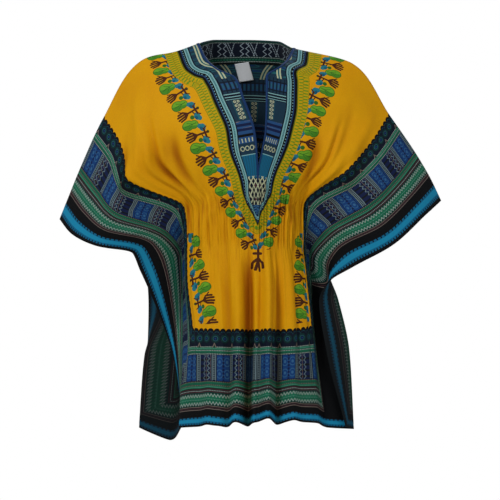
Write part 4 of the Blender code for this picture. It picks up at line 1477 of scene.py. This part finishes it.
def tagPrint():
    finish = Finish("wovenTag", 0.45, 0.05)
    across, down = finish.places("strip")
    colour = finish.paint(ink(214, 218, 222), across.under(1.5) | across.over(29.5), ink(196, 202, 208))
    colour = finish.paint(colour, down.near(2.0, 0.35) & across.inRepeat(2.6).under(1.7), ink(150, 160, 172))
    weave = finish.use(plainWeave, Vector=finish.map("strip"), Thread=0.35, Crumple=0.1)
    return finish.finishWith(colour, weave, 0.08, 0.5)


def tagRows():
    turn, lean = math.radians(tag["turn"]), math.radians(tag["lean"])
    rows = []
    for down in np.linspace(0, tag["height"], tag["rows"] + 1):
        row = []
        for right in np.linspace(-tag["width"] / 2, tag["width"] / 2, tag["columns"] + 1):
            place = tag["across"] + right * math.cos(turn) + down * math.sin(lean)
            drop = tag["drop"] + down * math.cos(lean) - right * math.sin(turn)
            lift = tag["curl"] * (down / tag["height"]) ** 2 * (0.6 + 0.4 * math.cos(right / 5))
            row.append(back.skin(1 if place >= 0 else -1, drop, [abs(place)], -tag["under"] - lift)[0])
        rows.append(row)
    return rows


tagPiece = plainStrip("neck_tag", tagRows(), tagPrint(), tag["thickness"])
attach(tagPiece, "root")
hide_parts("neck_label")
print("trims made")

# pale floor, studio light and the camera
studio = {
    "floorDrop": -1.35,
    "floorRadius": 2.4,
    "world": 1.0,
    "worldLight": 0.36,
    # each light: place, what it points at, size and power
    "lights": {
        "key": ((-1.5, -2.3, 1.6), (0, 0, -0.3), 0.8, 47.0),
        "fill": ((1.9, -2.2, 0.6), (0, 0, -0.3), 1.4, 11.0),
        "rear": ((1.2, 2.7, 1.5), (0, 0, -0.35), 1.2, 44.0),
    },
    "camera": (0.0068, -7.0, -0.39),
    "lens": 258.5,
}


def buildFloor():
    bm = bmesh.new()
    bmesh.ops.create_circle(bm, cap_ends=True, segments=96, radius=studio["floorRadius"])
    bmesh.ops.translate(bm, verts=bm.verts, vec=(0, 0, studio["floorDrop"]))
    finish = Finish("paleFloor", 0.8)
    node = finish.tree.nodes.new("ShaderNodeTexCoord")
    speck = finish.noise(node.outputs["Object"], 6.0)
    colour = finish.paint(ink(232, 232, 230), speck, ink(238, 238, 237))
    finish.tree.links.new(colour, finish.shader.inputs["Base Color"])
    floor = finishPiece("floor", bm, (finish.material,), smooth=False)


def addLight(name, place, target, size, power):
    lamp = bpy.data.lights.new(name, "AREA")
    lamp.shape = "DISK"
    lamp.size = size
    lamp.energy = power
    made = bpy.data.objects.new(name, lamp)
    bpy.context.scene.collection.objects.link(made)
    made.location = place
    made.rotation_euler = (Vector(target) - Vector(place)).to_track_quat("-Z", "Y").to_euler()


buildFloor()
world = bpy.data.worlds.new("studio")
world.use_nodes = True
background = world.node_tree.nodes["Background"]
background.inputs["Color"].default_value = (1.0, 1.0, 1.0, 1.0)
# white behind the shirt, and a softer light on it
seen = world.node_tree.nodes.new("ShaderNodeLightPath")
level = world.node_tree.nodes.new("ShaderNodeMapRange")
level.inputs["To Min"].default_value = studio["worldLight"]
level.inputs["To Max"].default_value = studio["world"]
world.node_tree.links.new(seen.outputs["Is Camera Ray"], level.inputs["Value"])
world.node_tree.links.new(level.outputs["Result"], background.inputs["Strength"])
bpy.context.scene.world = world
bpy.context.scene.view_settings.view_transform = "Standard"
bpy.context.scene.view_settings.look = "None"
for name, light in studio["lights"].items():
    addLight(name, *light)

lens = bpy.data.cameras.new("camera")
lens.lens = studio["lens"]
lens.clip_end = 50
camera = bpy.data.objects.new("camera", lens)
bpy.context.scene.collection.objects.link(camera)
camera.location = studio["camera"]
camera.rotation_euler = (math.radians(90), 0, 0)
bpy.context.scene.camera = camera

print("scene ready")
